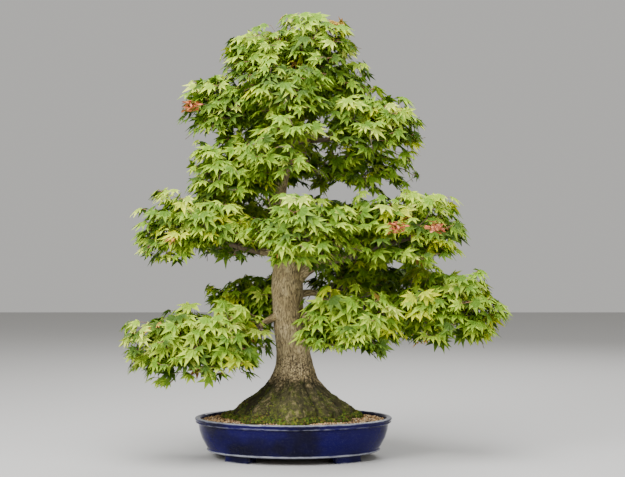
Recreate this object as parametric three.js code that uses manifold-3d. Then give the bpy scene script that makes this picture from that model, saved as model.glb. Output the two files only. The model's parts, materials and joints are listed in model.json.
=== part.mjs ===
// A bonsai Japanese maple in an oval glazed pot: pot, feet, soil, moss, trunk, boughs and
// masses of foliage, each a closed solid of its own. Millimetres, +Z up, front towards -Y.
import * as THREE from "three";
import { mergeVertices } from "three/addons/utils/BufferGeometryUtils.js";
import Module from "manifold-3d";

const wasm = await Module();
wasm.setup();

// Everything is laid out from the middle of the pot, on the plane its feet stand on.
// At the end the whole plant is shifted so that the middle of its box is the origin.
const clearance = 0.3; // between solids that touch

const pot = {
  halfLength: 225,
  halfWidth: 170,
  height: 91,
  footHeight: 15,
  floorThickness: 9,
  wallThickness: 7,
  lipOverhang: 7,
  lipHeight: 13,
  baseHalfLength: 192,
  bandHeight: 6,
  bandReach: 6,
  bulge: 5,
  around: 32,
};
const foot = { middleX: 130, spread: 0.19, inner: 0.8, outer: 0.985, steps: 5, height: 14.7 };
const soil = { plateauHeight: 88, edgeHeight: 82.5, plateauShare: 0.78, wallGap: 0.5 };
const moss = { reach: 20, unevenness: 0.45, height: 11, brow: 0.35 };

// The trunk's middle line: height, sideways and depth, and the radius of its shaft.
const trunk = {
  foot: soil.plateauHeight + clearance,
  flareSpread: 91,
  flareHeight: 55,
  flareDepthShare: 0.84,
  sides: 24,
  rings: 20,
  rootTurns: [185, 232, 272, 318, 2, 58, 122], // where the surface roots leave, in degrees
  rootReach: 0.17,
  rootWidth: 17,
  stations: [
    { height: 88.3, x: -5, y: 0, radius: 37 },
    { height: 215, x: 0, y: 6, radius: 34 },
    { height: 311, x: -11, y: 10, radius: 34 },
    { height: 402, x: -14, y: 4, radius: 35.5 },
    { height: 470, x: -9, y: -6, radius: 31 },
    { height: 520, x: -22, y: -6, radius: 25 },
    { height: 573, x: -36, y: -2, radius: 21 },
    { height: 626, x: -33, y: 8, radius: 19.5 },
    { height: 720, x: -8, y: 0, radius: 16.5 },
    { height: 813, x: -17, y: -12, radius: 11 },
    { height: 880, x: -2, y: -14, radius: 7.5 },
    { height: 955, x: 12, y: -8, radius: 4 },
  ],
};

// Each mass of foliage fills a flattened round space of its own, with its middle at a point
// and its half sizes, and hangs from its own bough. The bough leaves the trunk's middle line at the
// height from, and tapers from thick to thin, which are radii. twigs is how many spots
// on the mass's outside its side twigs reach for.
const spaces = {
  low_left: { at: [-212, -70, 256], half: [178, 130, 102], from: 318, thick: 11, thin: 6, twigs: 20 },
  low_right_inner: { at: [122, -122, 300], half: [135, 112, 92], from: 243, thick: 12, thin: 7, twigs: 12 },
  low_right_outer: { at: [335, -45, 336], half: [155, 128, 102], from: 300, thick: 14, thin: 8, twigs: 18 },
  low_back_left: { at: [-90, 140, 350], half: [125, 112, 92], from: 345, thick: 9, thin: 5, twigs: 10 },
  low_back_right: { at: [176, 105, 402], half: [165, 125, 98], from: 352, thick: 12, thin: 6, twigs: 12 },
  mid_left: { at: [-205, -45, 513], half: [165, 125, 106], from: 442, thick: 15, thin: 8, twigs: 18 },
  mid_front: { at: [20, -160, 502], half: [138, 105, 94], from: 462, thick: 11, thin: 6, twigs: 12 },
  mid_right: { at: [245, -62, 506], half: [160, 125, 106], from: 392, thick: 18, thin: 9, twigs: 18 },
  mid_back_left: { at: [-155, 140, 522], half: [150, 115, 96], from: 492, thick: 10, thin: 5, twigs: 10 },
  mid_back_right: { at: [120, 158, 515], half: [150, 112, 96], from: 470, thick: 11, thin: 6, twigs: 10 },
  upper_left: { at: [-128, -25, 640], half: [124, 115, 114], from: 600, thick: 9, thin: 5, twigs: 13 },
  upper_front: { at: [-5, -125, 690], half: [122, 96, 90], from: 640, thick: 7, thin: 4, twigs: 9 },
  upper_right: { at: [160, -35, 738], half: [146, 115, 104], from: 712, thick: 11, thin: 6, twigs: 14 },
  upper_right_back: { at: [155, 75, 655], half: [138, 110, 92], from: 655, thick: 9, thin: 5, twigs: 10 },
  upper_back: { at: [-40, 135, 690], half: [132, 104, 98], from: 618, thick: 8, thin: 4.5, twigs: 9 },
  shoulder_left: { at: [-145, 0, 790], half: [128, 98, 88], from: 762, thick: 8, thin: 4, twigs: 10 },
  shoulder_right: { at: [92, 30, 846], half: [98, 92, 80], from: 800, thick: 6, thin: 3.5, twigs: 7 },
  shoulder_back: { at: [-45, 112, 812], half: [112, 92, 82], from: 748, thick: 6, thin: 3.5, twigs: 7 },
  head_front: { at: [-18, -98, 815], half: [118, 92, 90], from: 786, thick: 6, thin: 3.5, twigs: 9 },
  apex_left: { at: [-64, -22, 900], half: [108, 94, 88], from: 866, thick: 5, thin: 3, twigs: 9 },
  apex_right: { at: [40, -32, 920], half: [112, 92, 88], from: 890, thick: 5, thin: 3, twigs: 9 },
  apex_back: { at: [-14, 88, 908], half: [102, 84, 82], from: 846, thick: 5, thin: 3, twigs: 8 },
};
const masses = Object.entries(spaces).map(([name, space]) => ({ name, ...space }));
const bough = {
  stepLength: 45,
  collar: 1.35,
  collarLength: 55,
  rise: 0.12,
  sway: 7,
  entersAt: 0.86,
  shortest: 12,
  thinBelow: 10,
};
const stem = {
  reach: 0.55,
  thick: 1.1,
  thin: 1.9,
  firstJoint: 0.15,
  bud: 0.6,
  spotsAJoint: 2.1,
  farOff: 1.6,
  choices: 4,
};
const twig = {
  middle: 1.6,
  thin: 1.4,
  bud: 3.2,
  arch: 0.1,
  jointFrom: 62,
  leastLean: 0.2,
  tries: 6,
  stray: 5,
};
const spray = { fill: 0.97, downTo: 1.42, openToBough: 0.72, setBack: 1.05, lift: 0.3, pairAhead: 0.5 };

// A leaf is a thin five-lobed blade: the turn of each tip and notch from the middle lobe,
// in degrees, and its reach as a share of the middle lobe's length.
const leaf = {
  length: 70,
  spread: 0.16,
  thickness: 1.6,
  droop: 0.3,
  hangAhead: 0.65,
  hangAside: 0.4,
  pairSize: 0.92,
  yield: 0.018,
  leastLean: 0.05,
  tries: 18,
  faceOut: 0.6,
  petiole: 0.3,
  outline: [
    { turn: 0, reach: 1.0 },
    { turn: 24, reach: 0.42 },
    { turn: 47, reach: 0.92 },
    { turn: 73, reach: 0.34 },
    { turn: 100, reach: 0.68 },
    { turn: 168, reach: 0.1 },
  ],
};
const cellMargin = 0.035; // how far a leaf stays inside its own mass's share of the space
const overhang = 1.07; // how far a lobe may stand past the mass's outline
const shoulders = 2.5; // 2 would make each mass's space an ellipsoid

const colours = {
  glaze: { color: 0x14206e, roughness: 0.15, metalness: 0 },
  soil: { color: 0xa98a62, roughness: 0.95, metalness: 0 },
  moss: { color: 0x4d5a1c, roughness: 0.95, metalness: 0 },
  bark: { color: 0x8d7b5f, roughness: 0.85, metalness: 0 },
  leaf: { color: 0x7fae3c, roughness: 0.5, metalness: 0 },
};

const up = new THREE.Vector3(0, 0, 1);

function seeded(seed) {
  let state = seed;
  return () => {
    state = (state + 0x6d2b79f5) | 0;
    let mixed = Math.imul(state ^ (state >>> 15), 1 | state);
    mixed = (mixed + Math.imul(mixed ^ (mixed >>> 7), 61 | mixed)) ^ mixed;
    return ((mixed ^ (mixed >>> 14)) >>> 0) / 4294967296;
  };
}

// Conversions between three.js geometry and solids that can be joined and cut.
function solidOf(geometry) {
  const bare = geometry.clone();
  bare.deleteAttribute("normal");
  bare.deleteAttribute("uv");
  const merged = mergeVertices(bare, 1e-4);
  return new wasm.Manifold(
    new wasm.Mesh({
      numProp: 3,
      vertProperties: new Float32Array(merged.attributes.position.array),
      triVerts: new Uint32Array(merged.index.array),
    }),
  );
}

function geometryOf(solid) {
  const mesh = solid.getMesh();
  const points = new Float32Array(mesh.numVert * 3);
  for (let i = 0; i < mesh.numVert; i++) {
    points.set(mesh.vertProperties.subarray(i * mesh.numProp, i * mesh.numProp + 3), i * 3);
  }
  return new THREE.BufferGeometry()
    .setAttribute("position", new THREE.BufferAttribute(points, 3))
    .setIndex(new THREE.BufferAttribute(new Uint32Array(mesh.triVerts), 1));
}

function skinOf(points, faces) {
  return new THREE.BufferGeometry().setFromPoints(points).setIndex(faces.flat());
}

function largestBody(solid) {
  return solid.decompose().reduce((a, b) => (b.volume() > a.volume() ? b : a));
}

function touches(a, b) {
  return a.intersect(b).volume() > 1e-6;
}

function meshOf(name, geometry, colour) {
  const made = new THREE.Mesh(geometry, new THREE.MeshStandardMaterial(colour));
  made.geometry.computeVertexNormals();
  made.name = name;
  return made;
}

// A turned profile stretched into the pot's oval, its axis upright.
function ovalOf(profile, around) {
  const points = profile.map(([reach, height]) => new THREE.Vector2(reach, height));
  const turned = new THREE.LatheGeometry(points, around);
  turned.rotateX(Math.PI / 2);
  turned.scale(1, pot.halfWidth / pot.halfLength, 1);
  return turned;
}

// The outer wall leans out from the band at its foot to the lip, a little bowed.
function wallReach(height) {
  const share = (height - pot.footHeight) / (pot.height - pot.lipHeight - pot.footHeight);
  const straight = THREE.MathUtils.lerp(pot.baseHalfLength, pot.halfLength - pot.lipOverhang, share);
  return straight + pot.bulge * Math.sin(Math.PI * THREE.MathUtils.clamp(share, 0, 1));
}

// The inner wall, from the floor up; the soil follows the same line a little further in.
const potFloor = pot.footHeight + pot.floorThickness;
const innerWall = [
  [wallReach(potFloor) - pot.wallThickness - 8, potFloor],
  [wallReach(potFloor + 8) - pot.wallThickness, potFloor + 8],
  [wallReach(60) - pot.wallThickness, 60],
  [wallReach(pot.height - pot.lipHeight) - pot.wallThickness + 1, pot.height - 2.5],
];

function innerReach(height) {
  const i = Math.max(1, innerWall.findIndex(([, level]) => level >= height));
  const [[reachBelow, below], [reachAbove, above]] = [innerWall[i - 1], innerWall[i]];
  return THREE.MathUtils.lerp(reachBelow, reachAbove, (height - below) / (above - below));
}

function potBody() {
  const lipFoot = pot.height - pot.lipHeight;
  const band = pot.baseHalfLength + pot.bandReach;
  const bandTop = pot.footHeight + pot.bandHeight;
  const [innerTop] = innerWall.at(-1);
  const outer = [
    [0, pot.footHeight],
    [pot.baseHalfLength, pot.footHeight],
    [band, pot.footHeight + 0.35 * pot.bandHeight],
    [band, pot.footHeight + 0.75 * pot.bandHeight],
    [wallReach(bandTop), bandTop],
    [wallReach(45), 45],
    [wallReach(lipFoot), lipFoot],
    [pot.halfLength - 1, lipFoot + 2],
    [pot.halfLength, pot.height - 5],
    [pot.halfLength - 4, pot.height],
    [innerTop + 2, pot.height],
  ];
  return ovalOf([...outer, ...innerWall.toReversed(), [0, potFloor]], pot.around);
}

// One low foot, following the oval of the pot's underside.
function potFoot(sideX, sideY) {
  const middle = Math.acos(foot.middleX / pot.baseHalfLength);
  const ends = [middle - foot.spread, middle + foot.spread];
  const plan = [];
  for (let i = 0; i <= foot.steps; i++) {
    plan.push([THREE.MathUtils.lerp(...ends, i / foot.steps), foot.outer]);
  }
  for (let i = foot.steps; i >= 0; i--) {
    plan.push([THREE.MathUtils.lerp(...ends, i / foot.steps), foot.inner]);
  }
  const baseHalfWidth = (pot.baseHalfLength * pot.halfWidth) / pot.halfLength;
  const shape = new THREE.Shape(
    plan.map(([turn, share]) => new THREE.Vector2(
      sideX * share * pot.baseHalfLength * Math.cos(turn),
      sideY * share * baseHalfWidth * Math.sin(turn),
    )),
  );
  return new THREE.ExtrudeGeometry(shape, { depth: foot.height, bevelEnabled: false });
}

// The soil fills the pot and rises to the level plateau on which the trunk is cut off.
function soilFill() {
  const side = [potFloor + clearance, potFloor + 8, 60, soil.edgeHeight];
  const wall = side.map((height) => [innerReach(height) - soil.wallGap, height]);
  const [edge] = wall.at(-1);
  return ovalOf(
    [
      [0, side[0]],
      ...wall.slice(0, -1),
      [edge, soil.edgeHeight],
      [soil.plateauShare * edge, soil.plateauHeight],
      [0, soil.plateauHeight],
    ],
    pot.around,
  );
}

// Between stations the trunk's line and radius run along a smooth curve through them.
function trunkAt(height) {
  const stations = trunk.stations;
  const last = stations.length - 1;
  let i = stations.findIndex((s) => s.height > height) - 1;
  if (i < 0) i = height < stations[0].height ? 0 : last - 1;
  const near = [Math.max(i - 1, 0), i, i + 1, Math.min(i + 2, last)];
  const [before, here, next, after] = near.map((k) => stations[k]);
  const span = next.height - here.height;
  const share = THREE.MathUtils.clamp((height - here.height) / span, 0, 1);
  const along = (key) => {
    const slopeHere = (next[key] - before[key]) / (next.height - before.height);
    const slopeNext = (after[key] - here[key]) / (after.height - here.height);
    const [s2, s3] = [share ** 2, share ** 3];
    return (
      (2 * s3 - 3 * s2 + 1) * here[key] +
      (s3 - 2 * s2 + share) * span * slopeHere +
      (3 * s2 - 2 * s3) * next[key] +
      (s3 - s2) * span * slopeNext
    );
  };
  return { x: along("x"), y: along("y"), radius: along("radius") };
}

// The trunk's reach from its middle line at a height and a turn about it, roots included.
function trunkReach(height, turn, extra) {
  const rise = Math.max(height - trunk.foot, 0) / trunk.flareHeight;
  const flare = trunk.flareSpread / (1 + rise ** 3);
  const degrees = THREE.MathUtils.radToDeg(turn);
  let ridge = -0.5;
  for (const root of trunk.rootTurns) {
    const away = ((degrees - root + 540) % 360) - 180;
    ridge += Math.exp(-((away / trunk.rootWidth) ** 2));
  }
  const reach = trunkAt(height).radius + flare * (1 + trunk.rootReach * ridge) + extra;
  const depthShare = THREE.MathUtils.lerp(1, trunk.flareDepthShare, flare / trunk.flareSpread);
  return [reach * Math.cos(turn), reach * Math.sin(turn) * depthShare];
}

function trunkBody(extra = 0) {
  const tube = new THREE.CylinderGeometry(1, 1, 1, trunk.sides, trunk.rings);
  const top = trunk.stations.at(-1).height;
  const place = tube.attributes.position;
  for (let i = 0; i < place.count; i++) {
    const share = (place.getY(i) + 0.5) ** 1.25; // closer rings in the flare
    const height = THREE.MathUtils.lerp(trunk.foot - extra, top + extra, share);
    const middle = trunkAt(height);
    const onAxis = Math.hypot(place.getX(i), place.getZ(i)) < 0.5;
    const turn = Math.atan2(-place.getZ(i), place.getX(i));
    const [x, y] = onAxis ? [0, 0] : trunkReach(height, turn, extra);
    place.setXYZ(i, middle.x + x, middle.y + y, height);
  }
  return tube;
}

// A closed limb: a cylinder whose rings are set along a curve. Its first ring faces the
// given way, so that a stem sits flat on the end of its bough.
function limb(curve, radiusAt, sides, steps, firstWay = curve.getTangentAt(0)) {
  const tube = new THREE.CylinderGeometry(1, 1, 1, sides, steps);
  const frames = curve.computeFrenetFrames(steps, false);
  frames.normals[0].projectOnPlane(firstWay).normalize();
  frames.binormals[0].crossVectors(firstWay, frames.normals[0]);
  const place = tube.attributes.position;
  for (let i = 0; i < place.count; i++) {
    const share = place.getY(i) + 0.5;
    const ring = Math.round(share * steps);
    const radius = radiusAt(share);
    const point = curve
      .getPointAt(share)
      .addScaledVector(frames.binormals[ring], radius * place.getX(i))
      .addScaledVector(frames.normals[ring], radius * place.getZ(i));
    place.setXYZ(i, point.x, point.y, point.z);
  }
  return tube;
}

// How far out a point lies in a mass's space: 0 at its middle and 1 on its outline.
function farness(mass, point) {
  const [x, y, z] = mass.at;
  const [a, b, c] = mass.half;
  return roundness((point.x - x) / a, (point.y - y) / b, (point.z - z) / c);
}

// A length measured so that a space of even reach is a ball with somewhat squared shoulders.
function roundness(...sizes) {
  return sizes.reduce((sum, size) => sum + Math.abs(size) ** shoulders, 0) ** (1 / shoulders);
}

function inOwnSpace(mass, point) {
  const own = farness(mass, point);
  const others = masses.filter((other) => other !== mass);
  return own < overhang && others.every((other) => farness(other, point) > own + cellMargin);
}

// The middle line of a mass's bough, from inside the trunk to where it enters the mass.
function boughLine(mass, random) {
  const base = trunkAt(mass.from);
  const start = new THREE.Vector3(base.x, base.y, mass.from);
  const middle = new THREE.Vector3(...mass.at);
  const away = middle.clone().sub(start);
  const flat = away.clone().setZ(0).normalize();
  const farnessAt = (share) => farness(mass, start.clone().addScaledVector(away, share));
  let share = 1;
  while (share > 0 && farnessAt(share) < bough.entersAt) share -= 0.01;
  const least = (base.radius + bough.shortest) / away.length();
  const tip = start.clone().addScaledVector(away, Math.max(share, least));
  const length = tip.distanceTo(start);
  const side = new THREE.Vector3().crossVectors(up, flat);
  const bends = [0.35, 0.7].map((s) => start
    .clone()
    .lerp(tip, s)
    .addScaledVector(up, bough.rise * length * Math.sin(Math.PI * s))
    .addScaledVector(side, bough.sway * (random() - 0.5) * Math.min(1, length / 120)));
  return new THREE.CatmullRomCurve3([start, ...bends, tip]);
}

function boughSteps(line) {
  return THREE.MathUtils.clamp(Math.round(line.getLength() / bough.stepLength), 2, 4);
}

// A bough swells into a collar where it leaves the trunk.
function boughRadius(mass, line, extra) {
  const collarShare = bough.collarLength / line.getLength();
  return (share) => {
    const collar = 1 + (bough.collar - 1) * Math.max(0, 1 - share / collarShare) ** 2;
    return THREE.MathUtils.lerp(mass.thick, mass.thin, share) * collar + extra;
  };
}

function boughSolid(mass, line, extra) {
  const sides = mass.thick > bough.thinBelow ? 6 : 5;
  return solidOf(limb(line, boughRadius(mass, line, extra), sides, boughSteps(line)));
}

// The corners of a three-sided ring across a way, in the order in which they run round
// anticlockwise as seen from ahead. Its turn is that of the first corner.
function ringCorners(middle, way, radius, turn) {
  const across = new THREE.Vector3().crossVectors(up, way).normalize();
  const over = new THREE.Vector3().crossVectors(way, across);
  return [0, 1, 2].map((i) => {
    const angle = THREE.MathUtils.degToRad(turn - 120 * i);
    return middle
      .clone()
      .addScaledVector(over, radius * Math.sin(angle))
      .addScaledVector(across, -radius * Math.cos(angle));
  });
}

// The turn at which a ring across a way follows on from an opening with the least twist,
// and has one of its corners straight up or straight down.
function matchingTurn(corners, way) {
  const across = new THREE.Vector3().crossVectors(up, way).normalize();
  const over = new THREE.Vector3().crossVectors(way, across);
  const middle = centreOf(corners);
  let [sine, cosine] = [0, 0];
  corners.forEach((corner, i) => {
    const spoke = corner.clone().sub(middle);
    const angle = Math.atan2(spoke.dot(over), -spoke.dot(across)) + THREE.MathUtils.degToRad(120 * i);
    sine += Math.sin(angle);
    cosine += Math.cos(angle);
  });
  return 60 * Math.round((THREE.MathUtils.radToDeg(Math.atan2(sine, cosine)) - 30) / 60) + 30;
}

function centreOf(corners) {
  return corners.reduce((sum, corner) => sum.add(corner), new THREE.Vector3()).divideScalar(corners.length);
}

function outwardOf([a, b, c]) {
  return new THREE.Vector3().crossVectors(b.clone().sub(a), c.clone().sub(a)).normalize();
}

// A length of twig from an opening to an end, closed by a bud whose three faces are the
// openings from which leaves or further twigs go on.
function twigPart(corners, end, radius, budLength) {
  const way = end.clone().sub(centreOf(corners)).normalize();
  const ring = ringCorners(end, way, radius, matchingTurn(corners, way));
  const bud = end.clone().addScaledVector(way, budLength);
  return { corners: [...ring, bud], walls: twigWalls, openings: [[0, 1, 3], [1, 2, 3], [2, 0, 3]], way };
}

// Faces as corner numbers: below 3 for the opening, and from 3 on for what is added to it.
const twigWalls = [0, 1, 2].flatMap((i) => {
  const next = (i + 1) % 3;
  return [[i, next, 3 + next], [i, 3 + next, 3 + i]];
});

// A leaf over an opening, its middle lobe along the tip direction.
function leafPart(corners, { tip, face, length }) {
  const along = tip.clone().normalize();
  const side = new THREE.Vector3().crossVectors(face, along).normalize();
  const above = new THREE.Vector3().crossVectors(along, side);
  const turns = [[0, 2, 1], [2, 1, 0], [1, 0, 2]];
  const height = ([corner]) => corners[corner].dot(above);
  const [over, left, right] = turns.reduce((best, turn) => (height(turn) > height(best) ? turn : best));
  const heart = centreOf(corners).addScaledVector(along, leaf.petiole * length);
  const mirrored = leaf.outline.slice(1).reverse().map(({ turn, reach }) => ({ turn: 360 - turn, reach }));
  const rim = [...leaf.outline, ...mirrored].map(({ turn, reach }) => {
    const angle = THREE.MathUtils.degToRad(turn);
    return heart
      .clone()
      .addScaledVector(along, length * reach * Math.cos(angle))
      .addScaledVector(side, length * reach * Math.sin(angle))
      .addScaledVector(above, -length * leaf.droop * reach ** 1.6);
  });
  const top = heart.clone().addScaledVector(above, leaf.thickness / 2);
  const bottom = heart.clone().addScaledVector(above, -leaf.thickness / 2);
  const [topAt, bottomAt] = [3, 4];
  const rimAt = rim.map((_, i) => 5 + i);
  const [leftHalf, rightHalf] = [rimAt.slice(0, leaf.outline.length), rimAt.slice(leaf.outline.length)];
  const upper = [...leftHalf, left, over, right, ...rightHalf];
  const lower = [...leftHalf, left, right, ...rightHalf];
  const walls = [
    ...upper.map((here, i) => [topAt, here, upper[(i + 1) % upper.length]]),
    ...lower.map((here, i) => [bottomAt, lower[(i + 1) % lower.length], here]),
  ];
  return { corners: [top, bottom, ...rim], walls, openings: [] };
}

// A part by itself, closed over its opening, to try for room.
function loneSolid(corners, part) {
  const closings = part.openings.map((opening) => opening.map((i) => 3 + i));
  return solidOf(skinOf([...corners, ...part.corners], [[0, 2, 1], ...part.walls, ...closings]));
}

// Where twigs should end: spread evenly over the outside of a mass, a leaf's length in,
// with the underside and the side of the bough left out.
function spotsOf(mass, root, random) {
  const middle = new THREE.Vector3(...mass.at);
  const inward = middle.clone().sub(root).normalize();
  const goldenTurn = Math.PI * (3 - Math.sqrt(5));
  const spots = [];
  for (let i = 0; i < mass.twigs; i++) {
    const z = 1 - (spray.downTo * (i + 0.5)) / mass.twigs;
    const across = Math.sqrt(1 - z * z);
    const way = new THREE.Vector3(across * Math.cos(i * goldenTurn), across * Math.sin(i * goldenTurn), z);
    if (way.dot(inward) < -spray.openToBough) continue;
    const outward = way.clone().setZ(0);
    if (outward.length() < 0.3) outward.set(random() - 0.5, random() - 0.7, 0);
    outward.normalize();
    const half = new THREE.Vector3(...mass.half).multiplyScalar(spray.fill / roundness(...way));
    const end = middle
      .clone()
      .add(half.multiply(way))
      .addScaledVector(outward, -spray.setBack * leaf.length)
      .addScaledVector(up, spray.lift * leaf.length * (1 - Math.abs(way.z)));
    spots.push({ end, outward });
  }
  return spots;
}

// One mass of foliage as a single skin: every twig and leaf grows out of an opening in what
// is there, and stays only if it keeps to its mass's space and is clear of everything else.
class Shoot {
  constructor(mass, obstacles, random, corners) {
    this.mass = mass;
    this.random = random;
    this.points = [...corners];
    this.closed = [[0, 2, 1]];
    this.buds = [];
    this.taken = [...obstacles];
  }

  cornersOf(opening) {
    return opening.map((i) => this.points[i]);
  }

  fits(opening, part) {
    const reaches = part.openings.length ? part.corners.slice(0, 3) : part.corners;
    if (!reaches.every((corner) => inOwnSpace(this.mass, corner))) return null;
    const solid = loneSolid(this.cornersOf(opening), part);
    return this.taken.some((other) => touches(other, solid)) ? null : solid;
  }

  // Puts a part over an opening and gives back the openings it leaves.
  add(opening, part, solid) {
    const first = this.points.length;
    const numbered = (face) => face.map((i) => (i < 3 ? opening[i] : first + i - 3));
    this.points.push(...part.corners);
    this.closed.push(...part.walls.map(numbered));
    this.taken.push(solid);
    return part.openings.map((face) => face.map((i) => first + i));
  }

  growTwig(opening, end, radius, budLength) {
    const corners = this.cornersOf(opening);
    for (let attempt = 0; attempt < twig.tries; attempt++) {
      const stray = new THREE.Vector3(this.random() - 0.5, this.random() - 0.5, this.random() - 0.5);
      const spot = end.clone().addScaledVector(stray, attempt * twig.stray);
      const part = twigPart(corners, spot, radius, budLength);
      if (part.way.dot(outwardOf(corners)) < twig.leastLean) continue;
      const solid = this.fits(opening, part);
      if (solid) return { openings: this.add(opening, part, solid), end: spot, way: part.way };
    }
    return null;
  }

  growLeaf(opening, heading, hang, size) {
    const corners = this.cornersOf(opening);
    const outward = outwardOf(corners);
    const aside = new THREE.Vector3().crossVectors(up, heading);
    for (let attempt = 0; attempt < leaf.tries; attempt++) {
      const give = 1 - leaf.yield * attempt;
      const length = size * leaf.length * (1 + leaf.spread * (2 * this.random() - 1)) * give;
      const wander = (0.15 + 0.07 * attempt) * (2 * this.random() - 1);
      const drop = -hang * (0.3 + 1.3 * this.random());
      const tip = heading.clone().addScaledVector(up, drop).addScaledVector(aside, wander).normalize();
      const tilt = 0.7 * (this.random() - 0.5);
      const face = up.clone().addScaledVector(heading, leaf.faceOut).addScaledVector(aside, tilt);
      if (tip.dot(outward) < leaf.leastLean) continue;
      const part = leafPart(corners, { tip, face, length });
      const solid = this.fits(opening, part);
      if (!solid) continue;
      this.add(opening, part, solid);
      return true;
    }
    return false;
  }

  // Tells the three openings of a bud apart: one to each side and one above or below.
  sorted(openings, way) {
    const across = new THREE.Vector3().crossVectors(up, way).normalize();
    const lean = (opening) => outwardOf(this.cornersOf(opening)).dot(across);
    const [left, ahead, right] = [...openings].sort((a, b) => lean(b) - lean(a));
    return { left, ahead, right };
  }

  // Leaves on the openings of a bud, one onwards where nothing grows on, one to each side.
  leafOut({ openings, way, outward }) {
    const heading = way.clone().setZ(0).normalize().add(outward).normalize();
    const aside = new THREE.Vector3().crossVectors(up, heading);
    for (const [key, turn] of [["ahead", 0], ["left", 1], ["right", -1]]) {
      if (!openings[key]) continue;
      const onward = turn ? spray.pairAhead * (this.random() - 0.3) : 1;
      const towards = heading.clone().multiplyScalar(onward).addScaledVector(aside, turn).normalize();
      const [hang, size] = turn ? [leaf.hangAside, leaf.pairSize] : [leaf.hangAhead, 1];
      if (!this.growLeaf(openings[key], towards, hang, size)) this.closed.push(openings[key]);
    }
  }

  // A side twig towards a spot, with a joint half way if it is long.
  growSide(opening, { end, outward }) {
    const start = centreOf(this.cornersOf(opening));
    const reach = start.distanceTo(end);
    let from = opening;
    if (reach > twig.jointFrom) {
      const joint = start.clone().lerp(end, 0.5).addScaledVector(up, twig.arch * reach);
      const lower = this.growTwig(opening, joint, twig.middle, twig.bud);
      if (!lower) return false;
      const { left, ahead, right } = this.sorted(lower.openings, lower.way);
      this.buds.push({ openings: { left, right }, way: lower.way, outward });
      from = ahead;
    }
    const upper = this.growTwig(from, end, twig.thin, twig.bud);
    if (upper) this.buds.push({ openings: this.sorted(upper.openings, upper.way), way: upper.way, outward });
    else if (from !== opening) this.closed.push(from);
    return Boolean(upper) || from !== opening;
  }
}

// The stem of a mass, on from the end of its bough and through the middle of its space.
function stemOf(mass, line) {
  const root = line.getPointAt(1).addScaledVector(line.getTangentAt(1), clearance);
  const middle = new THREE.Vector3(...mass.at);
  const beyond = middle.clone().sub(root).setZ(0).multiplyScalar(stem.reach);
  return new THREE.CatmullRomCurve3([
    root,
    root.clone().lerp(middle, 0.5).addScaledVector(up, -0.05 * mass.half[2]),
    middle.clone().addScaledVector(up, -0.12 * mass.half[2]),
    middle.clone().add(beyond.clampLength(8, 0.45 * mass.half[0])),
  ]);
}

function growMass(mass, line, obstacles, random) {
  const stemLine = stemOf(mass, line);
  const root = ringCorners(stemLine.getPointAt(0), line.getTangentAt(1), mass.thin * stem.thick, 90);
  const shoot = new Shoot(mass, obstacles, random, root);
  const spots = spotsOf(mass, stemLine.getPointAt(0), random);
  const joints = THREE.MathUtils.clamp(Math.round(spots.length / stem.spotsAJoint), 2, 5);
  const starts = [];
  let opening = [0, 1, 2];
  for (let joint = 0; joint < joints; joint++) {
    const share = THREE.MathUtils.lerp(stem.firstJoint, 1, joint / (joints - 1));
    const radius = THREE.MathUtils.lerp(mass.thin * stem.thick, stem.thin, share);
    const next = shoot.growTwig(opening, stemLine.getPointAt(share), radius, stem.bud * radius);
    if (!next) break;
    const { left, ahead, right } = shoot.sorted(next.openings, next.way);
    starts.push(left, right);
    opening = ahead;
  }
  starts.push(opening);
  // The outer openings choose first among the spots they look towards.
  for (const start of starts.reverse()) {
    const corners = shoot.cornersOf(start);
    const [middle, outward] = [centreOf(corners), outwardOf(corners)];
    const liking = ({ end }) => {
      const away = end.clone().sub(middle);
      return away.clone().normalize().dot(outward) - away.length() / (stem.farOff * Math.max(...mass.half));
    };
    spots.sort((a, b) => liking(b) - liking(a));
    const chosen = spots.slice(0, stem.choices).findIndex((spot) => shoot.growSide(start, spot));
    if (chosen < 0) shoot.closed.push(start);
    else spots.splice(chosen, 1);
  }
  shoot.buds.forEach((bud) => shoot.leafOut(bud));
  return skinOf(shoot.points, shoot.closed);
}

const plant = new THREE.Group();
const soilSolid = solidOf(soilFill());
const trunkSolid = solidOf(trunkBody());

plant.add(meshOf("pot", potBody(), colours.glaze));
for (const [end, sideX] of [["left", -1], ["right", 1]]) {
  for (const [side, sideY] of [["front", -1], ["back", 1]]) {
    plant.add(meshOf(`pot_foot_${side}_${end}`, potFoot(sideX, sideY), colours.glaze));
  }
}
plant.add(meshOf("soil", geometryOf(soilSolid), colours.soil));
plant.add(meshOf("trunk", geometryOf(trunkSolid), colours.bark));

// The moss lies in an uneven ring round the foot of the trunk, against its lowest facets.
function mossRing() {
  const ring = new THREE.TorusGeometry(1, 0.5, 4, trunk.sides);
  const random = seeded(5);
  const uneven = () => 1 + moss.unevenness * (2 * random() - 1);
  const reaches = Array.from({ length: trunk.sides }, () => moss.reach * uneven());
  const place = ring.attributes.position;
  const base = soil.plateauHeight + clearance;
  const profile = [
    { out: 1, rise: 0 },
    { out: moss.brow, rise: 1 },
    { out: 0, rise: 0.9 },
    { out: 0, rise: 0 },
  ];
  for (let i = 0; i < place.count; i++) {
    const around = i % (trunk.sides + 1);
    const step = Math.floor(i / (trunk.sides + 1)) % profile.length;
    const turn = (around / trunk.sides) * 2 * Math.PI;
    const reach = reaches[around % trunk.sides];
    const height = base + profile[step].rise * moss.height * (reach / moss.reach);
    const middle = trunkAt(height);
    const [x, y] = trunkReach(height, turn, clearance + 0.3 + profile[step].out * reach);
    place.setXYZ(i, middle.x + x, middle.y + y, height);
  }
  return ring;
}
plant.add(meshOf("moss", geometryOf(solidOf(mossRing())), colours.moss));

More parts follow.
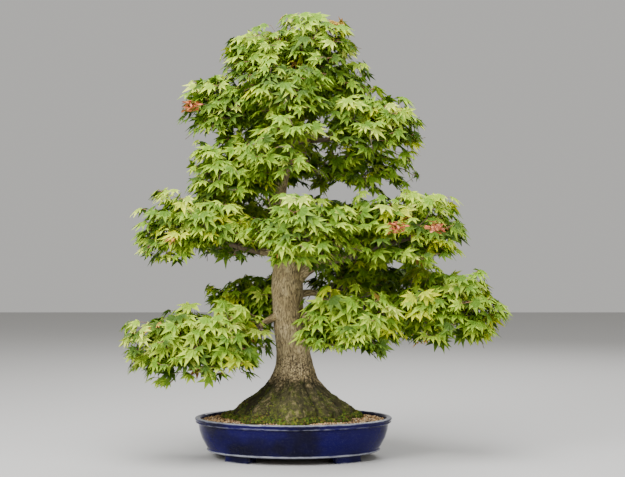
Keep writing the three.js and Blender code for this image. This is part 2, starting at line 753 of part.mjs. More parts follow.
const trunkGrown = solidOf(trunkBody(clearance));
const lines = masses.map((mass, i) => boughLine(mass, seeded(40 + i)));
const keepOff = [solidOf(trunkBody(0.6))]; // the limbs, grown a little, that leaves must clear
masses.forEach((mass, i) => {
  const seated = largestBody(boughSolid(mass, lines[i], 0).subtract(trunkGrown));
  plant.add(meshOf(`bough_${mass.name}`, geometryOf(seated), colours.bark));
  keepOff.push(boughSolid(mass, lines[i], 0.5));
});

const grownMasses = [];
masses.forEach((mass, i) => {
  // Only the very end of its own bough comes near a mass's stem, so that one is grown less.
  const own = boughSolid(mass, lines[i], 0.12);
  const obstacles = [...keepOff.filter((_, k) => k !== i + 1), own, ...grownMasses];
  const geometry = growMass(mass, lines[i], obstacles, seeded(700 + i));
  grownMasses.push(solidOf(geometry));
  plant.add(meshOf(`foliage_${mass.name}`, geometry, colours.leaf));
});

const box = new THREE.Box3().setFromObject(plant);
plant.position.set(-(box.min.x + box.max.x) / 2, -(box.min.y + box.max.y) / 2, -box.min.z);
const model = new THREE.Group();
model.add(plant);

export default model;
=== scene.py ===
# A bonsai Japanese maple in an oval glazed pot, dressed round its solid model: glazed pot
# and feet, loose soil, moss, barked trunk and boughs, and masses of twigs and leaves.
import json
import math
import bpy
import numpy as np
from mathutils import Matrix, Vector, noise

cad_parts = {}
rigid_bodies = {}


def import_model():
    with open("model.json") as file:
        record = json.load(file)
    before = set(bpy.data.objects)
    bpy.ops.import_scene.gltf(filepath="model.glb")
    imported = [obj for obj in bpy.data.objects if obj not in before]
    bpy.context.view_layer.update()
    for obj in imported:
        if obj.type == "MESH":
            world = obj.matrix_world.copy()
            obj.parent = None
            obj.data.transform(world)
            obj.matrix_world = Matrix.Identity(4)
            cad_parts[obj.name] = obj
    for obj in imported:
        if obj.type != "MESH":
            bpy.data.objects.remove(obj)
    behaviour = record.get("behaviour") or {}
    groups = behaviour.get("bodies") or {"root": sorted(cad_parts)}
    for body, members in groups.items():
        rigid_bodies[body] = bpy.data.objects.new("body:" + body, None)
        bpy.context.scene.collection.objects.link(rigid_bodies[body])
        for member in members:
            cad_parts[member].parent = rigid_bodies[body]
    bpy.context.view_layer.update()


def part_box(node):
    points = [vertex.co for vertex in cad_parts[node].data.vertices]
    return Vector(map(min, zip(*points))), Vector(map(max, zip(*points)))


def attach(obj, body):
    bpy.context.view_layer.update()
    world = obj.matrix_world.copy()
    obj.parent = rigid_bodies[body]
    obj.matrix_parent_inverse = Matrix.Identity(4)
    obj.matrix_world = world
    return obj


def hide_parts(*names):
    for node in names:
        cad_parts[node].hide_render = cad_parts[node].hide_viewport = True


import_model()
potLow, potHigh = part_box("pot")

# Shapes are worked out in millimetres from the middle of the pot, on the plane it stands on.
potMiddle = np.array([(potLow.x + potHigh.x) / 2, (potLow.y + potHigh.y) / 2, 0])


def inFrame(points):  # from those millimetres to metres in the frame
    return np.asarray(points, float) / 1000 + potMiddle


def unit(vectors):  # the same directions, one long
    vectors = np.asarray(vectors, float)
    return vectors / np.maximum(np.linalg.norm(vectors, axis=-1, keepdims=True), 1e-9)


def roundTurns(count):  # even turns over a full circle
    return np.linspace(0, 2 * math.pi, count, endpoint=False)


def roundAxis(reach, turns, heights):  # points at a reach from an upright line
    return np.column_stack([reach * np.cos(turns), reach * np.sin(turns), heights])


def lengthAlong(path):  # from the start of a path to each of its points
    return np.concatenate([[0], np.cumsum(np.linalg.norm(np.diff(path, axis=0), axis=1))])


def cubicWeights(share):  # of a start, its slope, an end and its slope, on a smooth curve
    square, cube = share ** 2, share ** 3
    return 2 * cube - 3 * square + 1, cube - 2 * square + share, 3 * square - 2 * cube, cube - square


def seededStream(seed):  # the same stream of random shares as grows the solids
    state = seed
    while True:
        state = (state + 0x6D2B79F5) & 0xFFFFFFFF
        mixed = ((state ^ state >> 15) * (1 | state)) & 0xFFFFFFFF
        mixed = ((mixed + (mixed ^ mixed >> 7) * (61 | mixed)) & 0xFFFFFFFF) ^ mixed
        yield (mixed ^ mixed >> 14) / 4294967296


def bumps(points, size, stretch=1.0, offset=0.0):  # noise from -1 to 1; each offset gives another
    places = np.asarray(points) / [size, size, size * stretch] + offset
    return np.array([noise.noise(place) for place in places.tolist()])


# Objects and nodes

def newObject(name, data):
    made = bpy.data.objects.new(name, data)
    bpy.context.collection.objects.link(made)
    return made


def plainMesh(thing):  # what an object's modifiers make of it
    depsgraph = bpy.context.evaluated_depsgraph_get()
    return bpy.data.meshes.new_from_object(thing.evaluated_get(depsgraph))


def feed(tree, socket, value):  # a value, or a link from a signal or from another socket
    if isinstance(value, Signal):
        value = value.socket
    if isinstance(value, bpy.types.NodeSocket):
        tree.links.new(value, socket)
    elif socket.type == "RGBA":
        socket.default_value = (*value, 1)
    else:
        socket.default_value = value


def addNode(tree, kind, settings=None, values=None):  # its settings first, then its sockets
    node = tree.nodes.new(kind)
    for key, value in (settings or {}).items():
        setattr(node, key, value)
    for key, value in (values or {}).items():
        feed(tree, node.inputs[key], value)
    return node


# Finishes

class Signal:  # a socket of a finish; arithmetic on it adds Math nodes
    def __init__(self, finish, socket):
        self.finish = finish
        self.socket = socket

    def maths(self, operation, *values):
        return self.finish.add("Math", {"operation": operation}, dict(enumerate(values)))

    def __add__(self, other):
        return self.maths("ADD", self, other)

    def __radd__(self, other):
        return self.maths("ADD", other, self)

    def __sub__(self, other):
        return self.maths("SUBTRACT", self, other)

    def __rsub__(self, other):
        return self.maths("SUBTRACT", other, self)

    def __mul__(self, other):
        return self.maths("MULTIPLY", self, other)

    def __rmul__(self, other):
        return self.maths("MULTIPLY", other, self)

    def above(self, low, high):  # 0 below low, 1 above high and smooth between
        settings = {"interpolation_type": "SMOOTHSTEP"}
        return self.finish.add("MapRange", settings, {0: self, 1: low, 2: high})


class Finish:  # a material on one Principled shader
    def __init__(self, name, values=None):
        self.material = bpy.data.materials.new(name)
        self.material.use_nodes = True
        self.tree = self.material.node_tree
        self.shader = self.tree.nodes["Principled BSDF"]
        self.set(values or {})

    def set(self, values):  # values or signals by the names of the shader's sockets
        for name, value in values.items():
            feed(self.tree, self.shader.inputs[name], value)

    def add(self, kind, settings=None, values=None, out=0):
        return Signal(self, addNode(self.tree, "ShaderNode" + kind, settings, values).outputs[out])

    def place(self):
        return self.add("TexCoord", out="Object")

    def part(self, vector, axis):
        return self.add("SeparateXYZ", values={0: vector}, out=axis)

    def own(self, name, out="Fac"):  # an attribute of the piece
        return self.add("Attribute", {"attribute_name": name}, out=out)

    def stretched(self, vector, factors):
        return self.add("VectorMath", {"operation": "MULTIPLY"}, {0: vector, 1: factors})

    def grain(self, vector, scale, detail=3.0, roughness=0.55):
        values = {"Vector": vector, "Scale": scale, "Detail": detail, "Roughness": roughness}
        return self.add("TexNoise", values=values)

    def blend(self, share, first, second):
        return self.add("Mix", {"data_type": "RGBA"}, {0: share, 6: first, 7: second}, out=2)

    def raised(self, height, distance, strength=1.0):
        values = {"Height": height, "Distance": distance, "Strength": strength}
        self.set({"Normal": self.add("Bump", values=values)})


def plainFinish(name, colour, roughness, shine=0.5):
    values = {"Base Color": colour, "Roughness": roughness, "Specular IOR Level": shine}
    return Finish(name, values).material


def paints(kind, colours, roughness, shine=0.5):  # a plain finish for each of the colours
    return [plainFinish(f"{kind}_{key}", colour, roughness, shine) for key, colour in colours.items()]


# Pieces

def addPiece(name, points, faces, finishes, stands=(), smooth=True, finishOf=None, own=None):
    mesh = bpy.data.meshes.new(name)
    faces = faces.tolist() if isinstance(faces, np.ndarray) else faces
    mesh.from_pydata(inFrame(points).tolist(), [], faces)
    for finish in finishes:
        mesh.materials.append(finish)
    if finishOf is not None:
        mesh.polygons.foreach_set("material_index", np.asarray(finishOf, np.int32))
    mesh.polygons.foreach_set("use_smooth", np.full(len(mesh.polygons), smooth))
    for key, values in (own or {}).items():
        kind, field = ("FLOAT_VECTOR", "vector") if values.ndim == 2 else ("FLOAT", "value")
        mesh.attributes.new(key, kind, "POINT").data.foreach_set(field, values.astype(np.float32).ravel())
    return join(newObject(name, mesh), stands)


def join(piece, stands=()):  # gives a finished piece its place in the frame
    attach(piece, "root")
    if stands:
        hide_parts(*stands)
    return piece


def ringFaces(rings, sides, capped=True):  # the faces of a closed tube whose points run ring by ring
    around = np.arange(sides)
    onward = (around + 1) % sides
    first = np.arange(rings - 1)[:, None] * sides
    quads = np.stack([first + around, first + onward, first + sides + onward, first + sides + around], -1)
    faces = quads.reshape(-1, 4).tolist()
    if capped:
        faces.append(around[::-1].tolist())
        faces.append((around + (rings - 1) * sides).tolist())
    return faces


# Scatterings over a surface, by Geometry Nodes

def scatterTree(name, finishes):
    tree = bpy.data.node_groups.new(name, "GeometryNodeTree")
    tree.interface.new_socket("Geometry", in_out="OUTPUT", socket_type="NodeSocketGeometry")
    for label, kind in [
        ("Surface", "Geometry"),
        ("Thing", "Object"),
        ("Density", "Float"),
        ("Smallest", "Float"),
        ("Largest", "Float"),
        ("Lean", "Float"),
        ("Seed", "Int"),
    ]:
        tree.interface.new_socket(label, in_out="INPUT", socket_type="NodeSocket" + kind)

    def add(kind, settings=None, values=None):
        return addNode(tree, kind, settings, values)

    given = add("NodeGroupInput").outputs
    cover = add("GeometryNodeInputNamedAttribute", values={"Name": "cover"}).outputs[0]
    density = add("ShaderNodeMath", {"operation": "MULTIPLY"}, {0: cover, 1: given["Density"]}).outputs[0]
    spots = add("GeometryNodeDistributePointsOnFaces", values={
        "Mesh": given["Surface"], "Density": density, "Seed": given["Seed"],
    }).outputs
    thing = add("GeometryNodeObjectInfo", values={"Object": given["Thing"]}).outputs["Geometry"]
    size = add("FunctionNodeRandomValue", values={
        2: given["Smallest"], 3: given["Largest"], "Seed": given["Seed"],
    }).outputs[1]
    lean = given["Lean"]
    leanBack = add("ShaderNodeMath", {"operation": "MULTIPLY"}, {0: lean, 1: -1.0}).outputs[0]
    turn = add("FunctionNodeRandomValue", {"data_type": "FLOAT_VECTOR"}, {
        0: add("ShaderNodeCombineXYZ", values={0: leanBack, 1: leanBack, 2: -math.pi}).outputs[0],
        1: add("ShaderNodeCombineXYZ", values={0: lean, 1: lean, 2: math.pi}).outputs[0],
        "Seed": given["Seed"],
    }).outputs[0]
    turned = add("FunctionNodeRotateRotation", {"rotation_space": "LOCAL"}, {
        0: spots["Rotation"], 1: add("FunctionNodeEulerToRotation", values={0: turn}).outputs[0],
    }).outputs[0]
    placed = add("GeometryNodeInstanceOnPoints", values={
        "Points": spots["Points"], "Instance": thing, "Rotation": turned, "Scale": size,
    }).outputs[0]
    tint = add("FunctionNodeRandomValue", {"data_type": "INT"}, {
        4: 0, 5: len(finishes) - 1, "Seed": given["Seed"],
    }).outputs[2]
    stored = add("GeometryNodeStoreNamedAttribute", {"data_type": "INT", "domain": "INSTANCE"}, {
        "Geometry": placed, "Name": "tint", "Value": tint,
    }).outputs[0]
    shape = add("GeometryNodeRealizeInstances", values={0: stored}).outputs[0]
    tinted = add("GeometryNodeInputNamedAttribute", {"data_type": "INT"}, {"Name": "tint"}).outputs[0]
    for i, finish in enumerate(finishes):
        chosen = add("FunctionNodeCompare", {"data_type": "INT", "operation": "EQUAL"}, {2: tinted, 3: i})
        shape = add("GeometryNodeSetMaterial", values={
            "Geometry": shape, "Selection": chosen.outputs[0], "Material": finish,
        }).outputs[0]
    add("NodeGroupOutput", values={0: shape})
    return tree


def scatter(name, surface, thing, finishes, sizes):  # the things on a surface, as one plain mesh
    tree = scatterTree(name, finishes)
    carrier = newObject(name, surface.data.copy())
    modifier = carrier.modifiers.new(name, "NODES")
    modifier.node_group = tree
    inputs = {item.name: item.identifier for item in tree.interface.items_tree if item.in_out == "INPUT"}
    modifier[inputs["Thing"]] = thing
    for label, value in sizes.items():
        modifier[inputs[label]] = value
    mesh = plainMesh(carrier)
    bpy.data.objects.remove(carrier)
    bpy.data.objects.remove(thing)
    return join(newObject(name, mesh))


def loneObject(name, points, faces):  # a small thing at the origin, in metres, to scatter
    mesh = bpy.data.meshes.new(name)
    mesh.from_pydata((np.asarray(points) / 1000).tolist(), [], faces)
    return newObject(name, mesh)


# Camera, floor and light

view = {"besidePot": 43.4, "distance": 3230, "height": 480, "pitch": 0.304, "lens": 81.4}
studio = {
    "floorSize": 14000,
    "floorColour": (0.42, 0.415, 0.405),
    "floorRoughness": 0.7,
    "surround": (1, 0.985, 0.95),
    "surroundStrength": 0.52,
    "lampsAim": (0, 0, 450),
}
lamps = {  # place in millimetres from the pot, size and power
    "sky": {"at": (-300, -900, 2900), "size": 2200, "power": 165},
    "window": {"at": (-2000, -2300, 1900), "size": 1500, "power": 128},
    "fill": {"at": (2500, -2000, 900), "size": 2200, "power": 45},
    "behind": {"at": (900, 2300, 2300), "size": 1800, "power": 60},
}


def makeCamera():
    camera = newObject("camera", bpy.data.cameras.new("camera"))
    camera.location = inFrame((view["besidePot"], -view["distance"], view["height"]))
    camera.rotation_euler = (math.radians(90 + view["pitch"]), 0, 0)
    camera.data.lens = view["lens"]
    bpy.context.scene.camera = camera


def makeStudio():
    half = studio["floorSize"] / 2
    corners = inFrame([(-half, -half, 0), (half, -half, 0), (half, half, 0), (-half, half, 0)])
    mesh = bpy.data.meshes.new("floor")
    mesh.from_pydata(corners.tolist(), [], [(0, 1, 2, 3)])
    mesh.materials.append(plainFinish("floorPaint", studio["floorColour"], studio["floorRoughness"]))
    ground = newObject("floor", mesh)
    world = bpy.data.worlds.new("studio")
    world.use_nodes = True
    background = world.node_tree.nodes["Background"].inputs
    feed(world.node_tree, background["Color"], studio["surround"])
    feed(world.node_tree, background["Strength"], studio["surroundStrength"])
    bpy.context.scene.world = world
    aim = Vector(inFrame(studio["lampsAim"]))
    for name, lamp in lamps.items():
        light = bpy.data.lights.new(name, "AREA")
        light.size = lamp["size"] / 1000
        light.energy = lamp["power"]
        holder = newObject(name, light)
        holder.location = inFrame(lamp["at"])
        holder.rotation_euler = (aim - holder.location).to_track_quat("-Z", "Y").to_euler()


makeCamera()
makeStudio()
print("camera, floor and light are set")


# Pot

potSize = {
    "halfLength": (potHigh.x - potLow.x) * 500,
    "halfWidth": (potHigh.y - potLow.y) * 500,
    "height": potHigh.z * 1000,
    "footHeight": potLow.z * 1000,
    "floorThickness": 9,
    "wallThickness": 7,
    "lipOverhang": 7,
    "lipHeight": 13,
    "baseHalfLength": 192,
    "bandHeight": 6,
    "bandReach": 6,
    "bulge": 5,
    "innerCorner": 8,
    "innerLevel": 60,
    "outerLevels": (45, 62),
    "softness": 2.6,
    "around": 176,
}
glazeLook = {
    "deep": (0.001, 0.0005, 0.013),
    "blue": (0.003, 0.0005, 0.058),
    "thin": (0.25, 0.26, 0.30),
    "clay": (0.12, 0.075, 0.05),
    "pools": 9,
    "speckles": 900,
    "speckleShare": 0.25,
    "thinGlazeAndHighlightShare": 0.85,
    "roughness": 0.07,
    "waves": 38,
}


def glazeFinish():
    finish = Finish("cobaltGlaze", {"Specular IOR Level": 0.10, "Coat Weight": 0.1, "Coat Roughness": 0.02})
    place = finish.place()
    pool = finish.grain(place, glazeLook["pools"], 3).above(0.38, 0.62)
    body = finish.blend(pool, glazeLook["deep"], glazeLook["blue"])
    speckle = finish.grain(place, glazeLook["speckles"], 1).above(0.66, 0.74)
    body = finish.blend(speckle * glazeLook["speckleShare"], body, glazeLook["thin"])
    patchy = finish.grain(finish.stretched(place, (1, 1, 3)), 55, 4)
    # Pale where the glaze runs thin; on the lip's top and on the band this pale line is also a painted
    # highlight.
    thin = (finish.own("thin") + patchy * 0.9 - 0.45).above(0.25, 0.85)
    body = finish.blend(thin * glazeLook["thinGlazeAndHighlightShare"], body, glazeLook["thin"])
    bare = finish.own("bare").above(0.4, 0.6)
    finish.set({
        "Base Color": finish.blend(bare, body, glazeLook["clay"]),
        "Roughness": bare * 0.6 + glazeLook["roughness"] + thin * 0.12,
    })
    waves = finish.grain(place, glazeLook["waves"], 2)
    finish.raised(waves + bare * finish.grain(place, 500, 3) * 0.2, 0.0012, 0.35)
    return finish.material


def wallReach(height):  # the outer wall leans out from its foot to the lip, a little bowed
    lipFoot = potSize["height"] - potSize["lipHeight"]
    share = (height - potSize["footHeight"]) / (lipFoot - potSize["footHeight"])
    top = potSize["halfLength"] - potSize["lipOverhang"]
    straight = potSize["baseHalfLength"] + share * (top - potSize["baseHalfLength"])
    return straight + potSize["bulge"] * math.sin(math.pi * min(max(share, 0), 1))


def softened(profile, reach, steps=4):  # with each corner as a short curve
    profile = np.asarray(profile, float)
    made = [profile[0]]
    for before, corner, after in zip(profile, profile[1:], profile[2:]):
        sides = [before - corner, after - corner]
        start, end = [
            corner + side * min(reach / max(np.linalg.norm(side[:2]), 1e-6), 0.45) for side in sides
        ]
        for share in np.linspace(0, 1, steps):
            made.append((1 - share) ** 2 * start + 2 * share * (1 - share) * corner + share ** 2 * end)
    made.append(profile[-1])
    return np.array(made)


def ovalPoints(profile, around):  # a turned profile stretched into the pot's oval
    turns = roundTurns(around)
    reach, height = profile[:, 0, None], profile[:, 1, None]
    narrow = potSize["halfWidth"] / potSize["halfLength"]
    level = np.broadcast_to(height, (len(profile), around))
    return np.stack([reach * np.cos(turns), reach * np.sin(turns) * narrow, level], -1).reshape(-1, 3)


def cavity(gap=0.0, lift=0.0):  # reach and height of the pot's hollow, from its floor up its wall
    floorTop = potSize["footHeight"] + potSize["floorThickness"]
    wall = potSize["wallThickness"] + gap
    corner = potSize["innerCorner"]
    return [
        (1, floorTop + lift),
        (wallReach(floorTop) - wall - corner, floorTop + lift),
        (wallReach(floorTop + corner) - wall, floorTop + corner),
        (wallReach(potSize["innerLevel"]) - wall, potSize["innerLevel"]),
    ]


def glazeOwn(rows, around):  # the last two columns of a profile, as attributes of its points
    return {"thin": np.repeat(rows[:, 2], around), "bare": np.repeat(rows[:, 3], around)}


def makePot():
    foot, height = potSize["footHeight"], potSize["height"]
    lipFoot = height - potSize["lipHeight"]
    edge, base = potSize["halfLength"], potSize["baseHalfLength"]
    band = base + potSize["bandReach"]
    bandTop = foot + potSize["bandHeight"]
    # In the third column, the pale lines on the band and the lip's top are partly thin glaze and partly a
    # painted highlight.
    profile = [  # reach, height, how thin the glaze is, how bare the clay is
        (1, foot, 0, 1),
        (base - 16, foot, 0, 1),
        (base - 10, foot, 0, 0),
        (base + 2, foot, 0.3, 0),
        (band, foot + 0.3 * potSize["bandHeight"], 0.75, 0),
        (band, foot + 0.75 * potSize["bandHeight"], 0.75, 0),
        (wallReach(bandTop) - 0.5, bandTop, 0, 0),
        *[(wallReach(level), level, 0, 0) for level in (bandTop + 6, *potSize["outerLevels"])],
        (wallReach(lipFoot) - 1, lipFoot - 1, 0, 0),
        (edge - 3, lipFoot + 0.5, 0.3, 0),
        (edge - 1.2, lipFoot + 3, 0.5, 0),
        (edge - 3, lipFoot + 5.5, 0, 0),
        (edge, height - 5, 0, 0),
        (edge - 0.5, height - 1.6, 0.65, 0),
        (edge - 4, height, 0.9, 0),
        (edge - 11, height - 0.2, 0.4, 0),
        (edge - 13.5, height - 3, 0.2, 0),
        *[(reach, level, 0, bare) for (reach, level), bare in zip(cavity()[::-1], (0, 1, 1, 1))],
    ]
    profile = softened(profile, potSize["softness"])
    around = potSize["around"]
    points, faces = ovalPoints(profile, around), ringFaces(len(profile), around)
    addPiece("glazed_pot", points, faces, [glaze], ["pot"], own=glazeOwn(profile, around))


footSize = {"middleX": 130, "spread": 0.19, "inner": 0.8, "outer": 0.985, "narrowing": 0.18, "steps": 14}
footRows = np.array([  # how far it draws in, height, how thin the glaze is, how bare the clay is
    (0.16, 0, 0.9, 1),
    (0.05, 0.6, 0.8, 0),
    (0, 2, 0.3, 0),
    (0.02, 6, 0, 0),
    (0.04, 11, 0, 0),
    (0, 13.6, 0, 0),
    (0.03, 14.7, 0, 0),
])


def makeFoot(name, sideX, sideY):
    turn = math.acos(footSize["middleX"] / potSize["baseHalfLength"])
    turns = np.linspace(turn - footSize["spread"], turn + footSize["spread"], footSize["steps"])
    wide = potSize["baseHalfLength"]
    deep = wide * potSize["halfWidth"] / potSize["halfLength"]
    points = []
    for drawnIn, level in footRows[:, :2]:
        inset = footSize["spread"] * drawnIn * footSize["narrowing"]
        along = turn + (turns - turn) * (1 - drawnIn)
        for share, way in ((footSize["outer"] - inset, along), (footSize["inner"] + inset, along[::-1])):
            points += [
                (sideX * share * wide * math.cos(t), sideY * share * deep * math.sin(t), level) for t in way
            ]
    around = 2 * footSize["steps"]
    faces = ringFaces(len(footRows), around)
    if sideX * sideY < 0:
        faces = [face[::-1] for face in faces]
    own = glazeOwn(footRows, around)
    addPiece("glazed_" + name, points, faces, [glaze], ["pot_" + name], own=own)


glaze = glazeFinish()
makePot()
for end, sideX in (("left", -1), ("right", 1)):
    for side, sideY in (("front", -1), ("back", 1)):
        makeFoot(f"foot_{side}_{end}", sideX, sideY)
print("the pot is made")


# Soil

soilSize = {
    "plateau": 88,
    "plateauShare": 0.78,
    "edge": 82.5,
    "rimInset": 14,
    "gap": 0.5,
    "lift": 0.3,
    "unevenness": 1.4,
    "bump": 16,
    "rings": 46,
    "around": 150,
    "granule": 2.4,
    "granuleShape": (1, 0.85, 0.7),
    "granuleReach": (0.7, 1.15),
    "granuleSeed": 3,
    "roughness": 0.95,
}
granuleScatter = {"Density": 62000.0, "Smallest": 0.6, "Largest": 1.35, "Lean": 3.0, "Seed": 11}
granuleColours = {
    "straw": (0.54, 0.35, 0.15),
    "tan": (0.42, 0.24, 0.09),
    "brown": (0.20, 0.105, 0.045),
    "pale": (0.66, 0.50, 0.30),
    "dark": (0.06, 0.038, 0.022),
}


def soilFinish():
    finish = Finish("soilBed", {"Roughness": soilSize["roughness"]})
    place = finish.place()
    share = finish.grain(place, 260, 4).above(0.35, 0.65)
    finish.set({"Base Color": finish.blend(share, granuleColours["dark"], granuleColours["brown"])})
    finish.raised(finish.grain(place, 420, 4), 0.0015)
    return finish.material


def granuleThing():  # an uneven grain with twenty faces
    random = np.random.default_rng(soilSize["granuleSeed"])
    golden = (1 + math.sqrt(5)) / 2
    corners = unit([(s, t * golden, 0) for s in (-1, 1) for t in (-1, 1)])
    corners = np.concatenate([corners, corners[:, [2, 0, 1]], corners[:, [1, 2, 0]]])
    reaches = soilSize["granule"] * random.uniform(*soilSize["granuleReach"], (12, 1))
    corners = corners * reaches * soilSize["granuleShape"]
    thing = loneObject("granule", corners, [])
    tree = bpy.data.node_groups.new("granuleHull", "GeometryNodeTree")
    for way in ("INPUT", "OUTPUT"):
        tree.interface.new_socket("Geometry", in_out=way, socket_type="NodeSocketGeometry")
    hull = addNode(tree, "GeometryNodeConvexHull", values={0: addNode(tree, "NodeGroupInput").outputs[0]})
    addNode(tree, "NodeGroupOutput", values={0: hull.outputs[0]})
    thing.modifiers.new("hull", "NODES").node_group = tree
    mesh = plainMesh(thing)
    thing.modifiers.clear()
    thing.data = mesh
    return thing


def makeSoil():
    edge = potSize["halfLength"] - soilSize["rimInset"]
    profile = cavity(soilSize["gap"], soilSize["lift"]) + [(edge, soilSize["edge"])]
    below = len(profile)
    for share in np.linspace(0.985, 0.02, soilSize["rings"]):  # over the top, in to the middle
        slope = min((1 - share) / (1 - soilSize["plateauShare"]), 1)
        profile.append((edge * share, soilSize["edge"] + (soilSize["plateau"] - soilSize["edge"]) * slope))
    around = soilSize["around"]
    points = ovalPoints(np.array(profile), around)
    top = np.repeat(np.arange(len(profile)) >= below, around)
    points[top, 2] += soilSize["unevenness"] * (bumps(points[top], soilSize["bump"]) - 0.3)
    soil = addPiece("soil_bed", points, ringFaces(len(profile), around), [soilFinish()], ["soil"],
                    own={"cover": top.astype(float)})
    tints = paints("granule", granuleColours, soilSize["roughness"])
    scatter("soil_granules", soil, granuleThing(), tints, granuleScatter)


makeSoil()
print("the soil is filled in")


# Trunk

trunkSize = {
    "foot": 88.3,
    "flareSpread": 91,
    "flareHeight": 55,
    "flareDepthShare": 0.84,
    "rootTurns": [185, 232, 272, 318, 2, 58, 122],  # where the surface roots leave, in degrees
    "rootReach": 0.27,
    "rootWidth": 15,
    "betweenRoots": -0.5,
    "mossHeight": 60,
    "mossPatch": 26,
    "mossBeyond": 30,  # the reach below which no moss climbs
    "sides": 208,
    "rings": 400,
    "crowding": 1.3,  # of the rings towards the foot
}
# Height, sideways, depth and radius of the trunk's middle line.
trunkStations = np.array([
    (88.3, -5, 0, 37),
    (215, 0, 6, 34),
    (311, -11, 10, 34),
    (402, -14, 4, 35.5),
    (470, -9, -6, 31),
    (520, -22, -6, 25),
    (573, -36, -2, 21),
    (626, -33, 8, 19.5),
    (720, -8, 0, 16.5),
    (813, -17, -12, 11),
    (880, -2, -14, 7.5),
    (955, 12, -8, 4),
])
barkRelief = {  # sizes of features in the bark, and how deep they go
    "fissure": 3.3,
    "fissureWidth": 0.2,
    "stretch": 3.4,
    "depth": 0.8,
    "swell": 26,
    "swellDepth": 1.1,
    "ridge": 15,
    "finerRidge": 2.4,
    "ridgeDepth": 13,
    "foldWidth": 0.13,
    "finerFoldWidth": 0.16,
    "knob": 15,
    "knobDepth": 5,
    "fullAt": 30,  # the radius from which the bark has its full depth
}
barkLook = {
    "pale": (0.54, 0.43, 0.225),
    "tan": (0.37, 0.280, 0.130),
    "fissure": (0.050, 0.034, 0.020),
    "mossDark": (0.044, 0.043, 0.012),
    "mossGreen": (0.105, 0.130, 0.009),
    "mossDeep": (0.045, 0.060, 0.006),
    "root": (0.27, 0.215, 0.10),
    # painted shade: near black, for the folds between the root ridges and for flecks among the moss
    "fold": (0.014, 0.012, 0.006),
    "soilLevel": 0.088,
    "cracksLevel": 0.195,
    "streaks": 330,
    "cracks": 210,
    "dapple": 120,
    "mossShare": 0.93,
}


def trunkAt(heights):  # middle and radius at heights, on a smooth curve through the stations
    heights = np.atleast_1d(np.asarray(heights, float))
    levels, values = trunkStations[:, 0], trunkStations[:, 1:]
    last = len(levels) - 1
    here = np.clip(np.searchsorted(levels, heights, side="right") - 1, 0, last - 1)
    before, onward, after = np.maximum(here - 1, 0), here + 1, np.minimum(here + 2, last)
    span = (levels[onward] - levels[here])[:, None]
    share = np.clip((heights - levels[here])[:, None] / span, 0, 1)
    slopeHere = (values[onward] - values[before]) / (levels[onward] - levels[before])[:, None]
    slopeOnward = (values[after] - values[here]) / (levels[after] - levels[here])[:, None]
    start, leaving, end, arriving = cubicWeights(share)
    made = start * values[here] + leaving * span * slopeHere
    made = made + end * values[onward] + arriving * span * slopeOnward
    return made[:, :2], made[:, 2]


def trunkReach(heights, turns):  # reach with surface roots, what part of it in depth, the flare's share
    rise = np.maximum(heights - trunkSize["foot"], 0) / trunkSize["flareHeight"]
    flare = trunkSize["flareSpread"] / (1 + rise ** 3)
    ridge = trunkSize["betweenRoots"]
    for root in trunkSize["rootTurns"]:
        away = (np.degrees(turns) - root + 540) % 360 - 180
        ridge = ridge + np.exp(-(away / trunkSize["rootWidth"]) ** 2)
    reach = trunkAt(heights)[1] + flare * (1 + trunkSize["rootReach"] * ridge)
    depthShare = 1 + (trunkSize["flareDepthShare"] - 1) * flare / trunkSize["flareSpread"]
    return reach, depthShare, flare / trunkSize["flareSpread"]


def roundTrunk(reach, turns, heights, depthShare):  # points at a reach from the middle line
    middle, _ = trunkAt(heights)
    across, deep = middle[:, 0] + reach * np.cos(turns), middle[:, 1] + reach * np.sin(turns) * depthShare
    return np.column_stack([across, deep, heights])


